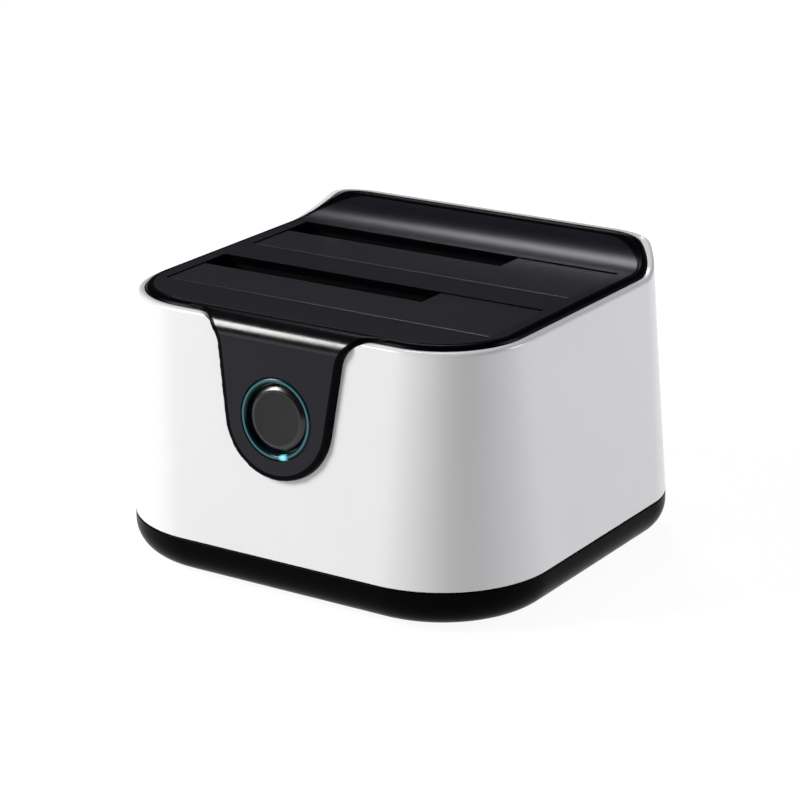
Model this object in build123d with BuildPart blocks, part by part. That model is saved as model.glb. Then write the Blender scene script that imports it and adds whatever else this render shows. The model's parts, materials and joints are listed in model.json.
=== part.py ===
from build123d import *
import os
from math import acos, atan, atan2, cos, degrees, hypot, sin

# A docking station that holds two hard drives upright, one behind the other.
# Millimetres. X runs along the front, Y to the back and Z up.
# The origin is the middle of the footprint, on the surface that the feet stand on.

# White case, from the seam over the base up to the level of the flat top
seam_half_width = 64.1
seam_half_depth = 57.8
seam_front_radius = 32.3
seam_rear_radius = 24.0
plate_front_radius = 24.4
plate_rear_radius = 22.0
case_height = 65.1
wall_lean_share = 0.068
shell_wall = 1.8
rim_drop = 1.3
crest_rim_drop = 0.3
rim_round = 1.1
ledge_width = 1.5
ledge_thickness = 1.6

# Black base
foot_stand = 1.0
base_height = 11.0
base_round = 8.5
base_wall = 2.2
base_floor = 2.0
hollow_chamfer_share = 0.6
lip_height = 3.0
lip_thickness = 1.4
lip_gap = 0.15

# Drives and the bays that they stand in
drive_width = 101.6
drive_thickness = 26.1
drive_side_gap = 1.2
drive_face_gap = 0.675
small_drive_width = 69.85
small_drive_thickness = 9.5
small_drive_end_gap = 1.2
small_drive_face_gap = 0.245
bay_pitch = 40.14
front_margin = 16.5

# Top cover
cover_gap = 0.15
cover_wall = 1.8
cover_skirt = 6.0
plate_thickness = 2.2
edge_round = 1.8
ramp_foot_gap = 0.6
ramp_run = 16.0
ramp_rise = 6.7
crest_radius = 3.0

# Tongue that runs from the cover down the front
tongue_proud = 1.7
tongue_bend = 4.5
tongue_half_width = 20.5
tongue_end_radius = 16.8
tongue_flare = 8.5
tongue_root = 10.0
flare_reach = 11.5
notch_gap = 0.15
button_drop = 25.4

# Power button and its ring of light
ring_outer_radius = 11.2
ring_inner_radius = 9.6
ring_proud = 0.2
ring_edge = 0.45
ring_shoulder = 1.2
ring_flange = 1.0
ring_flange_radius = 12.1
ring_skirt_radius = 11.1
ring_gap = 0.1
button_radius = 9.1
button_face_radius = 7.4
button_bevel_depth = 1.0
button_recess = 0.4
button_wall = 1.4
button_flange_radius = 10.6
button_flange = 0.9
button_rest_gap = 0.3
button_travel = 1.0
stem_radius = 2.0
plunger_radius = 1.7
plunger_length = 3.1
plunger_gap = 0.05

# Small board behind the button
button_board_depth = 9.0
button_board_thickness = 1.0
button_board_radius = 12.6
button_board_width = 8.0
button_post_offset = 14.5
button_post_radius = 1.9
switch_width = 6.0
switch_height = 3.5
led_length = 3.2
led_width = 1.6
led_height = 0.8
led_radius = 11.6
led_gap = 0.1
lamp_count = 4

# Drive frame under the cover
frame_floor = 2.0
frame_wall = 2.0
frame_thin_wall = 1.6
flap_side_gap = 0.4
well_depth = 51.1
well_extra = 0.3
hinge_box_half_width = 50.0
hinge_box_depth = 13.4
frame_corner = 3.0
connector_gap = 1.2

# Sprung flaps over the bays
flap_gap = 0.35
flap_thickness = 1.8
flap_drop = 0.3
flap_front_round = 0.9
hinge_forward = 3.5
hinge_below = 4.4
barrel_radius = 1.7
barrel_wall_gap = 0.5
arm_width = 8.0
arm_centre = 42.0
arm_height = 1.7
arm_reach = 5.0
pin_radius = 0.75
pin_gap = 0.05
pin_half_length = 49.5

# Torsion springs on the hinge pins
spring_radius = 1.45
spring_wire = 0.5
spring_pitch = 0.85
spring_turns = 3
spring_flap_leg = 5.5
spring_frame_leg = 4.0
spring_rest_gap = 0.05
spring_rib_width = 2.4

# Main circuit board under the drive frame
board_drop = 6.4
board_thickness = 1.6
board_half_width = 42.0
board_front = 42.0
board_rear = 53.5
board_corner = 2.0
board_post_radius = 3.0
board_post_x = 37.0
board_post_front_y = 27.0
board_post_rear_y = 19.0

# Drive connectors
connector_x = 22.0
connector_length = 43.0
connector_thickness = 5.8
connector_height = 13.4
connector_from_rear = 4.6
connector_foot = 2.5
connector_foot_spread = 1.2
key_slot_width = 2.4
key_slot_depth = 6.0
signal_slot_length = 11.4
power_slot_length = 21.4
slot_spacing = 3.2
slot_leg = 1.3
contact_pitch = 1.27
contact_width = 0.7
contact_thickness = 0.3
contact_length = 5.0
signal_contacts = 7
power_contacts = 15

# Sockets in the back
usb_x = 16.0
usb_width = 12.0
usb_height = 12.8
usb_depth = 18.0
usb_wall = 0.5
usb_tongue_width = 5.6
usb_tongue_height = 3.2
usb_tongue_depth = 8.5
usb_upper_width = 7.6
usb_upper_height = 4.2
usb_corner = 1.4
jack_x = 18.0
jack_width = 9.2
jack_height = 11.0
jack_depth = 13.5
jack_nose_radius = 4.0
jack_bore_radius = 3.15
jack_bore_depth = 10.0
jack_pin_radius = 1.0
jack_pin_set_back = 1.0
socket_set_back = 0.3
socket_gap = 0.35

# Parts on the main board
chip_size = 12.0
chip_height = 1.4
chip_place = (16.0, 10.0)
capacitor_radius = 3.15
capacitor_height = 5.8
capacitor_groove = 0.25
capacitor_pitch = 8.0
capacitor_x = 34.0
capacitor_count = 2
capacitor_gap = 1.5
coil_size = 7.0
coil_height = 4.0
coil_corner = 1.2
coil_x = 34.0
coil_pitch = 8.0
coil_count = 2
header_width = 8.0
header_depth = 5.0
header_height = 4.4
header_wall = 0.8
header_offset = 6.0
header_set_back = 4.0
plug_gap = 0.05
plug_stand_out = 2.0
lead_width = 5.0
lead_thickness = 0.9
lead_bend = 2.5

# Screws, posts and feet
case_screw_x = 48.0
case_screw_y = 26.0
case_screw_radius = 1.5
case_screw_head_radius = 2.8
case_screw_head = 1.8
case_screw_length = 15.0
case_post_radius = 3.6
case_post_gap = 0.1
tower_height = 7.0
head_sink = 0.8
small_screw_radius = 1.25
small_screw_head_radius = 2.3
small_screw_head = 1.4
small_screw_length = 6.0
board_screw_radius = 0.8
board_screw_head_radius = 1.5
board_screw_head = 1.0
board_screw_length = 5.0
screw_gap = 0.04
socket_share = 0.45
head_round_share = 0.35
cover_post_x = 30.0
cover_post_front_y = 45.6
cover_post_rear_y = 39.5
cover_post_length = 9.0
cover_post_radius = 2.9
cover_tab_thickness = 2.0
cover_tab_width = 7.0
foot_radius = 6.0
foot_sink = 0.6
foot_x = 40.0
foot_y = 38.0
vent_length = 34.0
vent_width = 2.0
vent_pitch = 5.0
vent_count = 6

# Cuts run past the solid that they cut by this much
overrun = 1.0

os.makedirs("parts", exist_ok=True)

# Heights and places worked out from the sizes above
seam_height = foot_stand + base_height
plate_height = seam_height + case_height
ceiling = plate_height + ramp_rise + edge_round
reach = seam_half_width + seam_half_depth
lean_angle = atan(wall_lean_share)
bay_width = drive_width + 2 * drive_side_gap
bay_depth = drive_thickness + 2 * drive_face_gap
slot_width = small_drive_width + 2 * small_drive_end_gap
slot_depth = small_drive_thickness + 2 * small_drive_face_gap


def front_wall(height):
    """The place along Y of the case's outer front face at a height."""
    return wall_lean_share * (height - seam_height) - seam_half_depth


front_bay = front_wall(plate_height) + shell_wall + front_margin
rear_bay = front_bay + bay_pitch
bays = {"front": front_bay, "rear": rear_bay}
ramp_foot = rear_bay + bay_depth + ramp_foot_gap
cover_inset = shell_wall + cover_gap
cover_foot = plate_height - cover_skirt
plate_under = plate_height - plate_thickness
floor_top = plate_under - well_depth + plate_thickness
floor_under = floor_top - frame_floor
board_top = floor_under - board_drop
board_under = board_top - board_thickness
tab_top = plate_height - cover_post_length
hinge_height = plate_height - hinge_below
flap_top = plate_height - flap_drop
button_height = plate_height - button_drop
base_floor_top = foot_stand + base_floor
tower_top = base_floor_top + tower_height


def outline(height, inset):
    """The case's plan outline at a height, drawn in by an inset."""
    rise = height - seam_height
    lean = wall_lean_share * rise
    up_share = rise / case_height
    front_radius = seam_front_radius + (plate_front_radius - seam_front_radius) * up_share
    rear_radius = seam_rear_radius + (plate_rear_radius - seam_rear_radius) * up_share
    Rectangle(
        2 * (seam_half_width - lean - inset),
        2 * (seam_half_depth - lean - inset),
    )
    fillet(vertices().group_by(Axis.Y)[0], front_radius - inset)
    fillet(vertices().group_by(Axis.Y)[-1], rear_radius - inset)


def case_block(inset, low, high):
    """A solid block that follows the leaning walls between two heights."""
    with BuildPart() as block:
        for height in (low, high):
            with BuildSketch(Plane.XY.offset(height)):
                outline(height, inset)
        loft(ruled=True)
    return block.part


def straight_block(height, inset, low, high):
    """A solid block with upright walls, on the case's outline at one height."""
    with BuildPart() as block:
        with BuildSketch(Plane.XY.offset(low)):
            outline(height, inset)
        extrude(amount=high - low)
    return block.part


def tapered_block(inset, low, high):
    """A solid block whose walls and corners draw in evenly, at the lean of the case's walls."""
    with BuildPart() as block:
        with BuildSketch(Plane.XY.offset(low)):
            outline(low, inset)
        extrude(amount=high - low, taper=degrees(lean_angle))
    return block.part


def space_above(level, rise):
    """The open space over the top: level at the front, then up the hollow ramp at the back."""
    slope = 2 * atan(rise / ramp_run)
    foot_radius_of_ramp = ramp_run / sin(slope) - crest_radius
    with BuildPart() as space:
        with BuildSketch(Plane.YZ):
            with BuildLine():
                flat = Line((-reach, level), (ramp_foot, level))
                hollow = JernArc(flat @ 1, flat % 1, foot_radius_of_ramp, degrees(slope))
                crest = JernArc(hollow @ 1, hollow % 1, crest_radius, -degrees(slope))
                back = Line(crest @ 1, (reach, level + rise))
                Polyline(back @ 1, (reach, reach), (-reach, reach), flat @ 0)
            make_face()
        extrude(amount=reach, both=True)
    return space.part


def tongue_outline(gap):
    """The tongue seen from the front: a round end, near-straight sides and flared shoulders."""
    end_height = button_height
    level = plate_height - rim_drop
    corner = tongue_half_width + gap
    radius = tongue_end_radius + gap
    rise = level - end_height
    touch = atan2(rise, corner) - acos(radius / hypot(corner, rise))
    touch_x, touch_z = radius * cos(touch), end_height + radius * sin(touch)
    shoulder = tongue_half_width + flare_reach
    with BuildLine() as path:
        side = Polyline(
            (touch_x, touch_z), (corner, level), (shoulder, level), (shoulder, reach),
            (-shoulder, reach), (-shoulder, level), (-corner, level), (-touch_x, touch_z),
        )
        ThreePointArc(side @ 1, (0, end_height - radius), side @ 0)
    make_face(path.edges())
    inner_corners = vertices().filter_by(
        lambda v: abs(abs(v.X) - corner) < notch_gap and abs(v.Y - level) < notch_gap
    )
    fillet(inner_corners, tongue_flare - gap)


def rim_edges(part, level):
    """The edges around a top face, without the straight lines that cross it along the ramp."""
    edges_above = part.edges().filter_by(lambda e: e.bounding_box().min.Z > level - cover_gap)
    crossing = edges_above.filter_by(Axis.X).filter_by(
        lambda e: ramp_foot - overrun < e.center().Y < ramp_foot + ramp_run + cover_gap
    )
    return edges_above - crossing


# White outer shell
shell_space = space_above(plate_height - rim_drop, ramp_rise + rim_drop - crest_rim_drop)
shell_blank = case_block(0, seam_height, ceiling)
shell_void = case_block(shell_wall + ledge_width, seam_height - overrun, ceiling)
shell_lower_void = tapered_block(shell_wall, seam_height - overrun, cover_foot - ledge_thickness)
shell_upper_void = case_block(shell_wall, cover_foot, ceiling)
usb_height_middle = board_top + usb_height / 2
jack_height_middle = board_top + jack_height / 2
with BuildPart() as outer_shell:
    add(shell_blank)
    add(shell_space, mode=Mode.SUBTRACT)
    fillet(rim_edges(outer_shell.part, plate_height - rim_drop), rim_round)
    for void in (shell_void, shell_lower_void, shell_upper_void):
        add(void, mode=Mode.SUBTRACT)
    with BuildSketch(Plane.XZ.offset(tongue_half_width)):
        tongue_outline(notch_gap)
    extrude(amount=reach, mode=Mode.SUBTRACT)
    with BuildSketch(Plane.XZ.offset(-tongue_half_width)):
        with Locations((usb_x, usb_height_middle)):
            RectangleRounded(usb_width + 2 * socket_gap, usb_height + 2 * socket_gap, usb_corner)
        with Locations((-jack_x, jack_height_middle)):
            Circle(jack_nose_radius + socket_gap)
    extrude(amount=-reach, mode=Mode.SUBTRACT)
outer_shell.part.label = "outer_shell"
export_step(outer_shell.part, "parts/outer_shell.step")


# Tongue: the cover's plate bent down over the front of the case
face_top = front_wall(plate_height) - tongue_proud
tongue_thickness = tongue_proud + cover_inset
tongue_low = button_height - tongue_end_radius - overrun
root_y = face_top + tongue_bend + tongue_root
plan_level = front_wall(plate_height) + cover_inset
plan_shoulder = tongue_half_width + flare_reach
with BuildPart() as tongue:
    with BuildSketch(Plane.YZ):
        with BuildLine():
            Polyline(
                (root_y, plate_height),
                (face_top, plate_height),
                (front_wall(tongue_low) - tongue_proud, tongue_low),
                (front_wall(tongue_low) + cover_inset, tongue_low),
                (front_wall(plate_under) + cover_inset, plate_under),
                (root_y, plate_under),
                close=True,
            )
        make_face()
        bend_corner = vertices().sort_by_distance((face_top, plate_height))[0]
        fillet(bend_corner, tongue_bend)
    extrude(amount=plan_shoulder, both=True)
    with BuildSketch(Plane.XZ.offset(tongue_half_width)):
        tongue_outline(0)
    extrude(amount=reach, mode=Mode.INTERSECT)
    with BuildSketch(Plane.XY.offset(tongue_low)):
        with BuildLine():
            Polyline(
                (-plan_shoulder, 0), (-plan_shoulder, plan_level),
                (-tongue_half_width, plan_level), (-tongue_half_width, -reach),
                (tongue_half_width, -reach), (tongue_half_width, plan_level),
                (plan_shoulder, plan_level), (plan_shoulder, 0), close=True,
            )
        make_face()
        inner_corners = vertices().filter_by(
            lambda v: abs(abs(v.X) - tongue_half_width) < notch_gap
            and abs(v.Y - plan_level) < notch_gap
        )
        fillet(inner_corners, tongue_flare)
    extrude(amount=reach, mode=Mode.INTERSECT)

# The tongue's front face, with local Y up along it and Z out of it
button_plane = Plane(
    origin=(0, front_wall(button_height) - tongue_proud, button_height),
    x_dir=(1, 0, 0),
    z_dir=(0, -cos(lean_angle), sin(lean_angle)),
)

# Top cover: plate, ramp, skirt and tongue, with two bay openings
cover_blank = case_block(cover_inset, cover_foot, ceiling)
cover_space = space_above(plate_height, ramp_rise)
skirt_void = straight_block(plate_height, cover_inset + cover_wall, cover_foot - overrun, ceiling)
under_space = space_above(plate_under, ramp_rise)
ring_hole_radius = ring_outer_radius + ring_gap
board_screw_places = [(0, button_post_offset), (0, -button_post_offset)]
cover_post_places = [
    (side * cover_post_x, y) for side in (-1, 1) for y in (-cover_post_front_y, cover_post_rear_y)
]
with BuildPart() as cover_void:
    add(skirt_void)
    add(under_space, mode=Mode.SUBTRACT)
post_space = space_above(plate_under + cover_gap, ramp_rise)
with BuildPart() as cover_posts:
    with BuildSketch(Plane.XY.offset(tab_top)):
        with Locations(*cover_post_places):
            Circle(cover_post_radius)
    extrude(amount=ceiling - tab_top)
    add(post_space, mode=Mode.SUBTRACT)
with BuildPart() as top_cover:
    add(cover_blank)
    add(cover_space, mode=Mode.SUBTRACT)
    fillet(rim_edges(top_cover.part, plate_height), edge_round)
    add(cover_void.part, mode=Mode.SUBTRACT)
    add(tongue.part)
    with BuildSketch(Plane.XY.offset(plate_under - overrun)):
        for bay in bays.values():
            with Locations((0, bay + bay_depth / 2)):
                Rectangle(bay_width, bay_depth)
    extrude(amount=reach, mode=Mode.SUBTRACT)
    with BuildSketch(button_plane.offset(overrun)):
        Circle(ring_hole_radius)
    extrude(amount=-(tongue_thickness + cover_wall + overrun), mode=Mode.SUBTRACT)
    with BuildSketch(button_plane.offset(-ring_shoulder)):
        Circle(ring_flange_radius + ring_gap)
    extrude(amount=-tongue_thickness - cover_wall, mode=Mode.SUBTRACT)
    with BuildSketch(button_plane.offset(-button_board_depth)):
        with Locations(*board_screw_places):
            Circle(button_post_radius)
    extrude(amount=button_board_depth - tongue_thickness + cover_gap)
    with BuildSketch(button_plane.offset(-button_board_depth)):
        with Locations(*board_screw_places):
            Circle(board_screw_radius + screw_gap)
    extrude(amount=board_screw_length, mode=Mode.SUBTRACT)
    add(cover_posts.part)
    with BuildSketch(Plane.XY.offset(tab_top)):
        with Locations(*cover_post_places):
            Circle(small_screw_radius + screw_gap)
    extrude(amount=small_screw_length, mode=Mode.SUBTRACT)
top_cover.part.label = "top_cover"
export_step(top_cover.part, "parts/top_cover.step")


# Black base with its rounded underside, lip, screw towers and vents
feet_places = [(sx * foot_x, sy * foot_y) for sx in (-1, 1) for sy in (-1, 1)]
case_screw_places = [(sx * case_screw_x, sy * case_screw_y) for sx in (-1, 1) for sy in (-1, 1)]
lip_inset = shell_wall + lip_gap
lip_top = seam_height + lip_height
lip_outer = straight_block(lip_top, lip_inset, seam_height - lip_height, lip_top)
lip_inner = straight_block(lip_top, lip_inset + lip_thickness, seam_height - lip_height, lip_top)
with BuildPart() as lip:
    add(lip_outer)
    add(lip_inner, mode=Mode.SUBTRACT)
with BuildPart() as base_hollow:
    with BuildSketch(Plane.XY.offset(base_floor_top)):
        outline(seam_height, base_wall)
    extrude(amount=base_height)
    chamfer(base_hollow.faces().sort_by(Axis.Z)[0].edges(), (base_round - base_wall) * hollow_chamfer_share)
with BuildPart() as base_tray:
    with BuildSketch(Plane.XY.offset(foot_stand)):
        outline(seam_height, 0)
    extrude(amount=base_height)
    fillet(base_tray.faces().sort_by(Axis.Z)[0].edges(), base_round)
    add(base_hollow.part, mode=Mode.SUBTRACT)
    add(lip.part)
    with BuildSketch(Plane.XY.offset(base_floor_top)):
        with Locations(*case_screw_places):
            Circle(case_post_radius + base_floor / 2)
    extrude(amount=tower_height)
    with BuildSketch(Plane.XY.offset(foot_stand)):
        with Locations(*case_screw_places):
            Circle(case_screw_radius + screw_gap)
    extrude(amount=reach, mode=Mode.SUBTRACT)
    with BuildSketch(Plane.XY.offset(foot_stand)):
        with Locations(*case_screw_places):
            Circle(case_screw_head_radius + screw_gap)
    extrude(amount=head_sink + case_screw_head, mode=Mode.SUBTRACT)
    with BuildSketch(Plane.XY.offset(foot_stand)):
        with Locations(*feet_places):
            Circle(foot_radius + cover_gap)
    extrude(amount=foot_sink, mode=Mode.SUBTRACT)
    with BuildSketch(Plane.XY.offset(foot_stand)):
        with GridLocations(0, vent_pitch, 1, vent_count):
            SlotOverall(vent_length, vent_width)
    extrude(amount=base_floor + overrun, mode=Mode.SUBTRACT)
base_tray.part.label = "base_tray"
export_step(base_tray.part, "parts/base_tray.step")

with BuildPart() as rubber_feet:
    with BuildSketch(Plane.XY):
        with Locations(*feet_places):
            Circle(foot_radius)
    extrude(amount=foot_stand + foot_sink)
    chamfer(rubber_feet.faces().group_by(Axis.Z)[0].edges(), foot_sink)
rubber_feet.part.label = "rubber_feet"
export_step(rubber_feet.part, "parts/rubber_feet.step")


# Drive frame: two wells, their hinge boxes, floor, posts and tabs
frame_half_width = bay_width / 2 + well_extra + frame_wall
well_half_width = bay_width / 2 + well_extra
panel_over_pin = hinge_below - flap_drop - flap_thickness
well_front_inset = hinge_forward - panel_over_pin + barrel_wall_gap
frame_front = front_bay - well_front_inset - frame_thin_wall
frame_rear = rear_bay + bay_depth + well_extra + frame_thin_wall
hinge_front_gap = hinge_forward + barrel_radius + barrel_wall_gap
rib_front = front_bay + bay_depth + well_extra + frame_thin_wall
rib_rear = rear_bay - well_front_inset - frame_thin_wall
connector_y = {name: bay + bay_depth - connector_from_rear for name, bay in bays.items()}
board_post_places = [
    (sx * board_post_x, y) for sx in (-1, 1) for y in (-board_post_front_y, board_post_rear_y)
]
tab_half_width = cover_tab_width / 2
tab_spans = {
    "front": (hinge_front_gap + frame_thin_wall / 2 - front_bay, cover_post_front_y, -1),
    "rear": (frame_rear - frame_thin_wall / 2, cover_post_rear_y, 1),
}
tab_places = [
    (sx * cover_post_x, sy * (root + post_y + tab_half_width) / 2, post_y + tab_half_width - root)
    for sx in (-1, 1)
    for root, post_y, sy in tab_spans.values()
]
with BuildPart() as drive_frame:
    with BuildSketch(Plane.XY.offset(floor_under)):
        with Locations((0, (frame_front + frame_rear) / 2)):
            RectangleRounded(2 * frame_half_width, frame_rear - frame_front, frame_corner)
    extrude(amount=plate_under - floor_under)
    with BuildSketch(Plane.XY.offset(plate_under)):
        for bay in bays.values():
            box_front = bay - hinge_front_gap - frame_thin_wall
            with Locations((0, (box_front + bay) / 2)):
                Rectangle(2 * hinge_box_half_width, bay - box_front)
    extrude(amount=-hinge_box_depth)
    with BuildSketch(Plane.XY.offset(floor_top)):
        with Locations((0, (rib_front + rib_rear) / 2)):
            Rectangle(2 * well_half_width, rib_rear - rib_front)
    extrude(amount=plate_under - hinge_box_depth - floor_top, mode=Mode.SUBTRACT)
    with BuildSketch(Plane.XY.offset(plate_under - hinge_box_depth)):
        rear_box_front = rear_bay - hinge_front_gap - frame_thin_wall
        with Locations((0, (rib_front + rear_box_front) / 2)):
            Rectangle(2 * well_half_width, rear_box_front - rib_front)
    extrude(amount=hinge_box_depth, mode=Mode.SUBTRACT)
    with BuildSketch(Plane.XY.offset(floor_top)):
        for bay in bays.values():
            well_front = bay - well_front_inset
            well_rear = bay + bay_depth + well_extra
            with Locations((0, (well_front + well_rear) / 2)):
                Rectangle(2 * well_half_width, well_rear - well_front)
    extrude(amount=reach, mode=Mode.SUBTRACT)
    with BuildSketch(Plane.XY.offset(plate_under - hinge_box_depth + frame_thin_wall)):
        for bay in bays.values():
            pocket_front = bay - hinge_front_gap
            with Locations((0, (pocket_front + bay) / 2)):
                Rectangle(2 * (hinge_box_half_width - frame_wall), bay - pocket_front)
    extrude(amount=reach, mode=Mode.SUBTRACT)
    with BuildSketch(Plane.YZ.offset(-pin_half_length)):
        for bay in bays.values():
            with Locations((bay - hinge_forward, hinge_height)):
                Circle(pin_radius + pin_gap)
    extrude(amount=2 * pin_half_length, mode=Mode.SUBTRACT)
    with BuildSketch(Plane.XY.offset(floor_under)):
        for y in connector_y.values():
            with Locations((-connector_x, y)):
                RectangleRounded(
                    connector_length + 2 * connector_gap,
                    connector_thickness + 2 * connector_gap,
                    connector_gap,
                )
    extrude(amount=frame_floor, mode=Mode.SUBTRACT)
    with BuildSketch(Plane.XY.offset(board_top)):
        with Locations(*board_post_places):
            Circle(board_post_radius)
    extrude(amount=board_drop + frame_floor / 2)
    with BuildSketch(Plane.XY.offset(tower_top + case_post_gap)):
        with Locations(*case_screw_places):
            Circle(case_post_radius)
    extrude(amount=floor_top - tower_top - case_post_gap)
    for x, y, depth in tab_places:
        with BuildSketch(Plane.XY.offset(tab_top)):
            with Locations((x, y)):
                Rectangle(cover_tab_width, depth)
        extrude(amount=-cover_tab_thickness)
    with BuildSketch(Plane.XY.offset(board_top)):
        with Locations(*board_post_places):
            Circle(small_screw_radius + screw_gap)
    extrude(amount=small_screw_length, mode=Mode.SUBTRACT)
    with BuildSketch(Plane.XY.offset(tower_top)):
        with Locations(*case_screw_places):
            Circle(case_screw_radius + screw_gap)
    extrude(amount=case_screw_length, mode=Mode.SUBTRACT)
    with BuildSketch(Plane.XY.offset(tab_top - cover_tab_thickness)):
        with Locations(*cover_post_places):
            Circle(small_screw_radius + screw_gap)
    extrude(amount=cover_tab_thickness, mode=Mode.SUBTRACT)
drive_frame.part.label = "drive_frame"
export_step(drive_frame.part, "parts/drive_frame.step")


# Sprung flaps with their pins and torsion springs, one set for each bay
flap_half_width = bay_width / 2 - flap_side_gap
flap_under = flap_top - flap_thickness
slot_right = slot_width - bay_width / 2
for name, bay in bays.items():
    pin_y = bay - hinge_forward
    panel_front = bay + flap_gap
    panel_rear = bay + bay_depth - flap_gap
    step_rear = bay + bay_depth - slot_depth
    pin_places = [(pin_y, hinge_height)]
    with BuildPart() as flap:
        with BuildSketch(Plane.XY.offset(flap_under)):
            with BuildLine():
                Polyline(
                    (-flap_half_width, panel_front), (flap_half_width, panel_front),
                    (flap_half_width, panel_rear), (slot_right, panel_rear),
                    (slot_right, step_rear), (-flap_half_width, step_rear), close=True,
                )
            make_face()
        extrude(amount=flap_thickness)
        top_edges = flap.faces().sort_by(Axis.Z)[-1].edges()
        fillet(top_edges.sort_by(Axis.Y)[0], flap_front_round)
        for side in (-1, 1):
            with BuildSketch(Plane.YZ.offset(side * arm_centre - arm_width / 2)):
                with BuildLine():
                    Polyline(
                        (pin_y, hinge_height + arm_height),
                        (panel_front, hinge_height + arm_height),
                        (panel_front, flap_under + flap_drop),
                        (panel_front + arm_reach, flap_under + flap_drop),
                        (panel_front + arm_reach, flap_under),
                        (pin_y, hinge_height - arm_height),
                        close=True,
                    )
                make_face()
                with Locations(*pin_places):
                    Circle(barrel_radius)
            extrude(amount=arm_width)
        with BuildSketch(Plane.YZ.offset(-spring_rib_width / 2)):
            rib_low = hinge_height + spring_radius + spring_wire / 2 + spring_rest_gap
            with Locations((panel_front + spring_flap_leg / 2, (rib_low + flap_under) / 2)):
                Rectangle(spring_flap_leg - flap_front_round, flap_under - rib_low)
        extrude(amount=spring_rib_width)
        with BuildSketch(Plane.YZ.offset(-flap_half_width)):
            with Locations(*pin_places):
                Circle(pin_radius + pin_gap)
        extrude(amount=2 * flap_half_width, mode=Mode.SUBTRACT)
    flap.part.label = f"{name}_flap"
    export_step(flap.part, f"parts/{name}_flap.step")

    with BuildPart() as hinge_pin:
        with BuildSketch(Plane.YZ.offset(-pin_half_length)):
            with Locations(*pin_places):
                Circle(pin_radius)
        extrude(amount=2 * pin_half_length)
        chamfer(hinge_pin.edges().filter_by(GeomType.CIRCLE), pin_radius / 3)
    hinge_pin.part.label = f"{name}_hinge_pin"
    export_step(hinge_pin.part, f"parts/{name}_hinge_pin.step")

    spring_span = spring_pitch * (spring_turns + 1 / 4)
    with BuildPart() as flap_spring:
        coil_plane = Plane(origin=(0, pin_y, hinge_height), x_dir=(0, 0, 1), z_dir=(1, 0, 0))
        with BuildLine() as spring_path:
            coil = Helix(spring_pitch, spring_span, spring_radius)
            Line(coil @ 0 - (coil % 0) * spring_flap_leg, coil @ 0)
            Line(coil @ 1, coil @ 1 + (coil % 1) * spring_frame_leg)
        path = coil_plane.location * spring_path.wire()
        with BuildSketch(Plane(origin=path @ 0, z_dir=path % 0)):
            RegularPolygon(spring_wire / 2, 6)
        sweep(path=path, transition=Transition.RIGHT)
    flap_spring.part.label = f"{name}_flap_spring"
    export_step(flap_spring.part, f"parts/{name}_flap_spring.step")


# Main circuit board
with BuildPart() as main_board:
    with BuildSketch(Plane.XY.offset(board_under)):
        with Locations((0, (board_rear - board_front) / 2)):
            RectangleRounded(2 * board_half_width, board_rear + board_front, board_corner)
        with Locations(*board_post_places):
            Circle(small_screw_radius + screw_gap, mode=Mode.SUBTRACT)
    extrude(amount=board_thickness)
main_board.part.label = "main_board"
export_step(main_board.part, "parts/main_board.step")


# Drive connectors: an upright body with two key-shaped slots, and its row of contacts
slots = {
    "signal": (-(slot_spacing + signal_slot_length) / 2, signal_slot_length, signal_contacts, 1),
    "power": ((slot_spacing + power_slot_length) / 2, power_slot_length, power_contacts, -1),
}
slots_shift = (signal_slot_length - power_slot_length) / 2
connector_top = board_top + connector_height
for name, y in connector_y.items():
    with BuildPart() as connector:
        with BuildSketch(Plane.XY.offset(board_top)):
            with Locations((-connector_x, y)):
                RectangleRounded(connector_length, connector_thickness, connector_gap)
        extrude(amount=connector_height)
        with BuildSketch(Plane.XY.offset(connector_top)):
            for place, length, _, leg_side in slots.values():
                with Locations((-connector_x + slots_shift + place, y)):
                    Rectangle(length, key_slot_width)
                    with Locations((leg_side * (key_slot_width - length) / 2, slot_leg)):
                        Rectangle(key_slot_width, key_slot_width)
        extrude(amount=-key_slot_depth, mode=Mode.SUBTRACT)
        with BuildSketch(Plane.XY.offset(board_top)):
            with Locations((-connector_x, y)):
                RectangleRounded(
                    connector_length - 2 * connector_gap,
                    connector_thickness + 2 * connector_foot_spread,
                    connector_gap,
                )
        extrude(amount=connector_foot)
    connector.part.label = f"{name}_drive_connector"
    export_step(connector.part, f"parts/{name}_drive_connector.step")

    with BuildPart() as contacts:
        with BuildSketch(Plane.XY.offset(connector_top - key_slot_depth)):
            for place, _, count, _ in slots.values():
                wall_y = y - (key_slot_width - contact_thickness) / 2
                with Locations((-connector_x + slots_shift + place, wall_y)):
                    with GridLocations(contact_pitch, 0, count, 1):
                        Rectangle(contact_width, contact_thickness)
        extrude(amount=contact_length)
    contacts.part.label = f"{name}_connector_contacts"
    export_step(contacts.part, f"parts/{name}_connector_contacts.step")


# Square data socket: a folded metal shell round a plastic tongue
usb_front = -front_wall(board_top + usb_height) - socket_set_back - usb_depth
usb_plane = Plane(origin=(usb_x, usb_front, usb_height_middle), x_dir=(-1, 0, 0), z_dir=(0, 1, 0))
usb_lower_height = usb_height - usb_upper_height - 2 * usb_wall
with BuildPart() as usb_shell:
    with BuildSketch(usb_plane):
        RectangleRounded(usb_width, usb_height, usb_corner)
    extrude(amount=usb_depth)
    with BuildSketch(usb_plane.offset(usb_wall)):
        with Locations((0, -usb_upper_height / 2)):
            Rectangle(usb_width - 2 * usb_wall - usb_corner, usb_lower_height)
        with Locations((0, (usb_height - usb_upper_height) / 2 - usb_wall)):
            Rectangle(usb_upper_width, usb_upper_height)
    extrude(amount=usb_depth, mode=Mode.SUBTRACT)
usb_shell.part.label = "usb_socket_shell"
export_step(usb_shell.part, "parts/usb_socket_shell.step")

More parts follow.
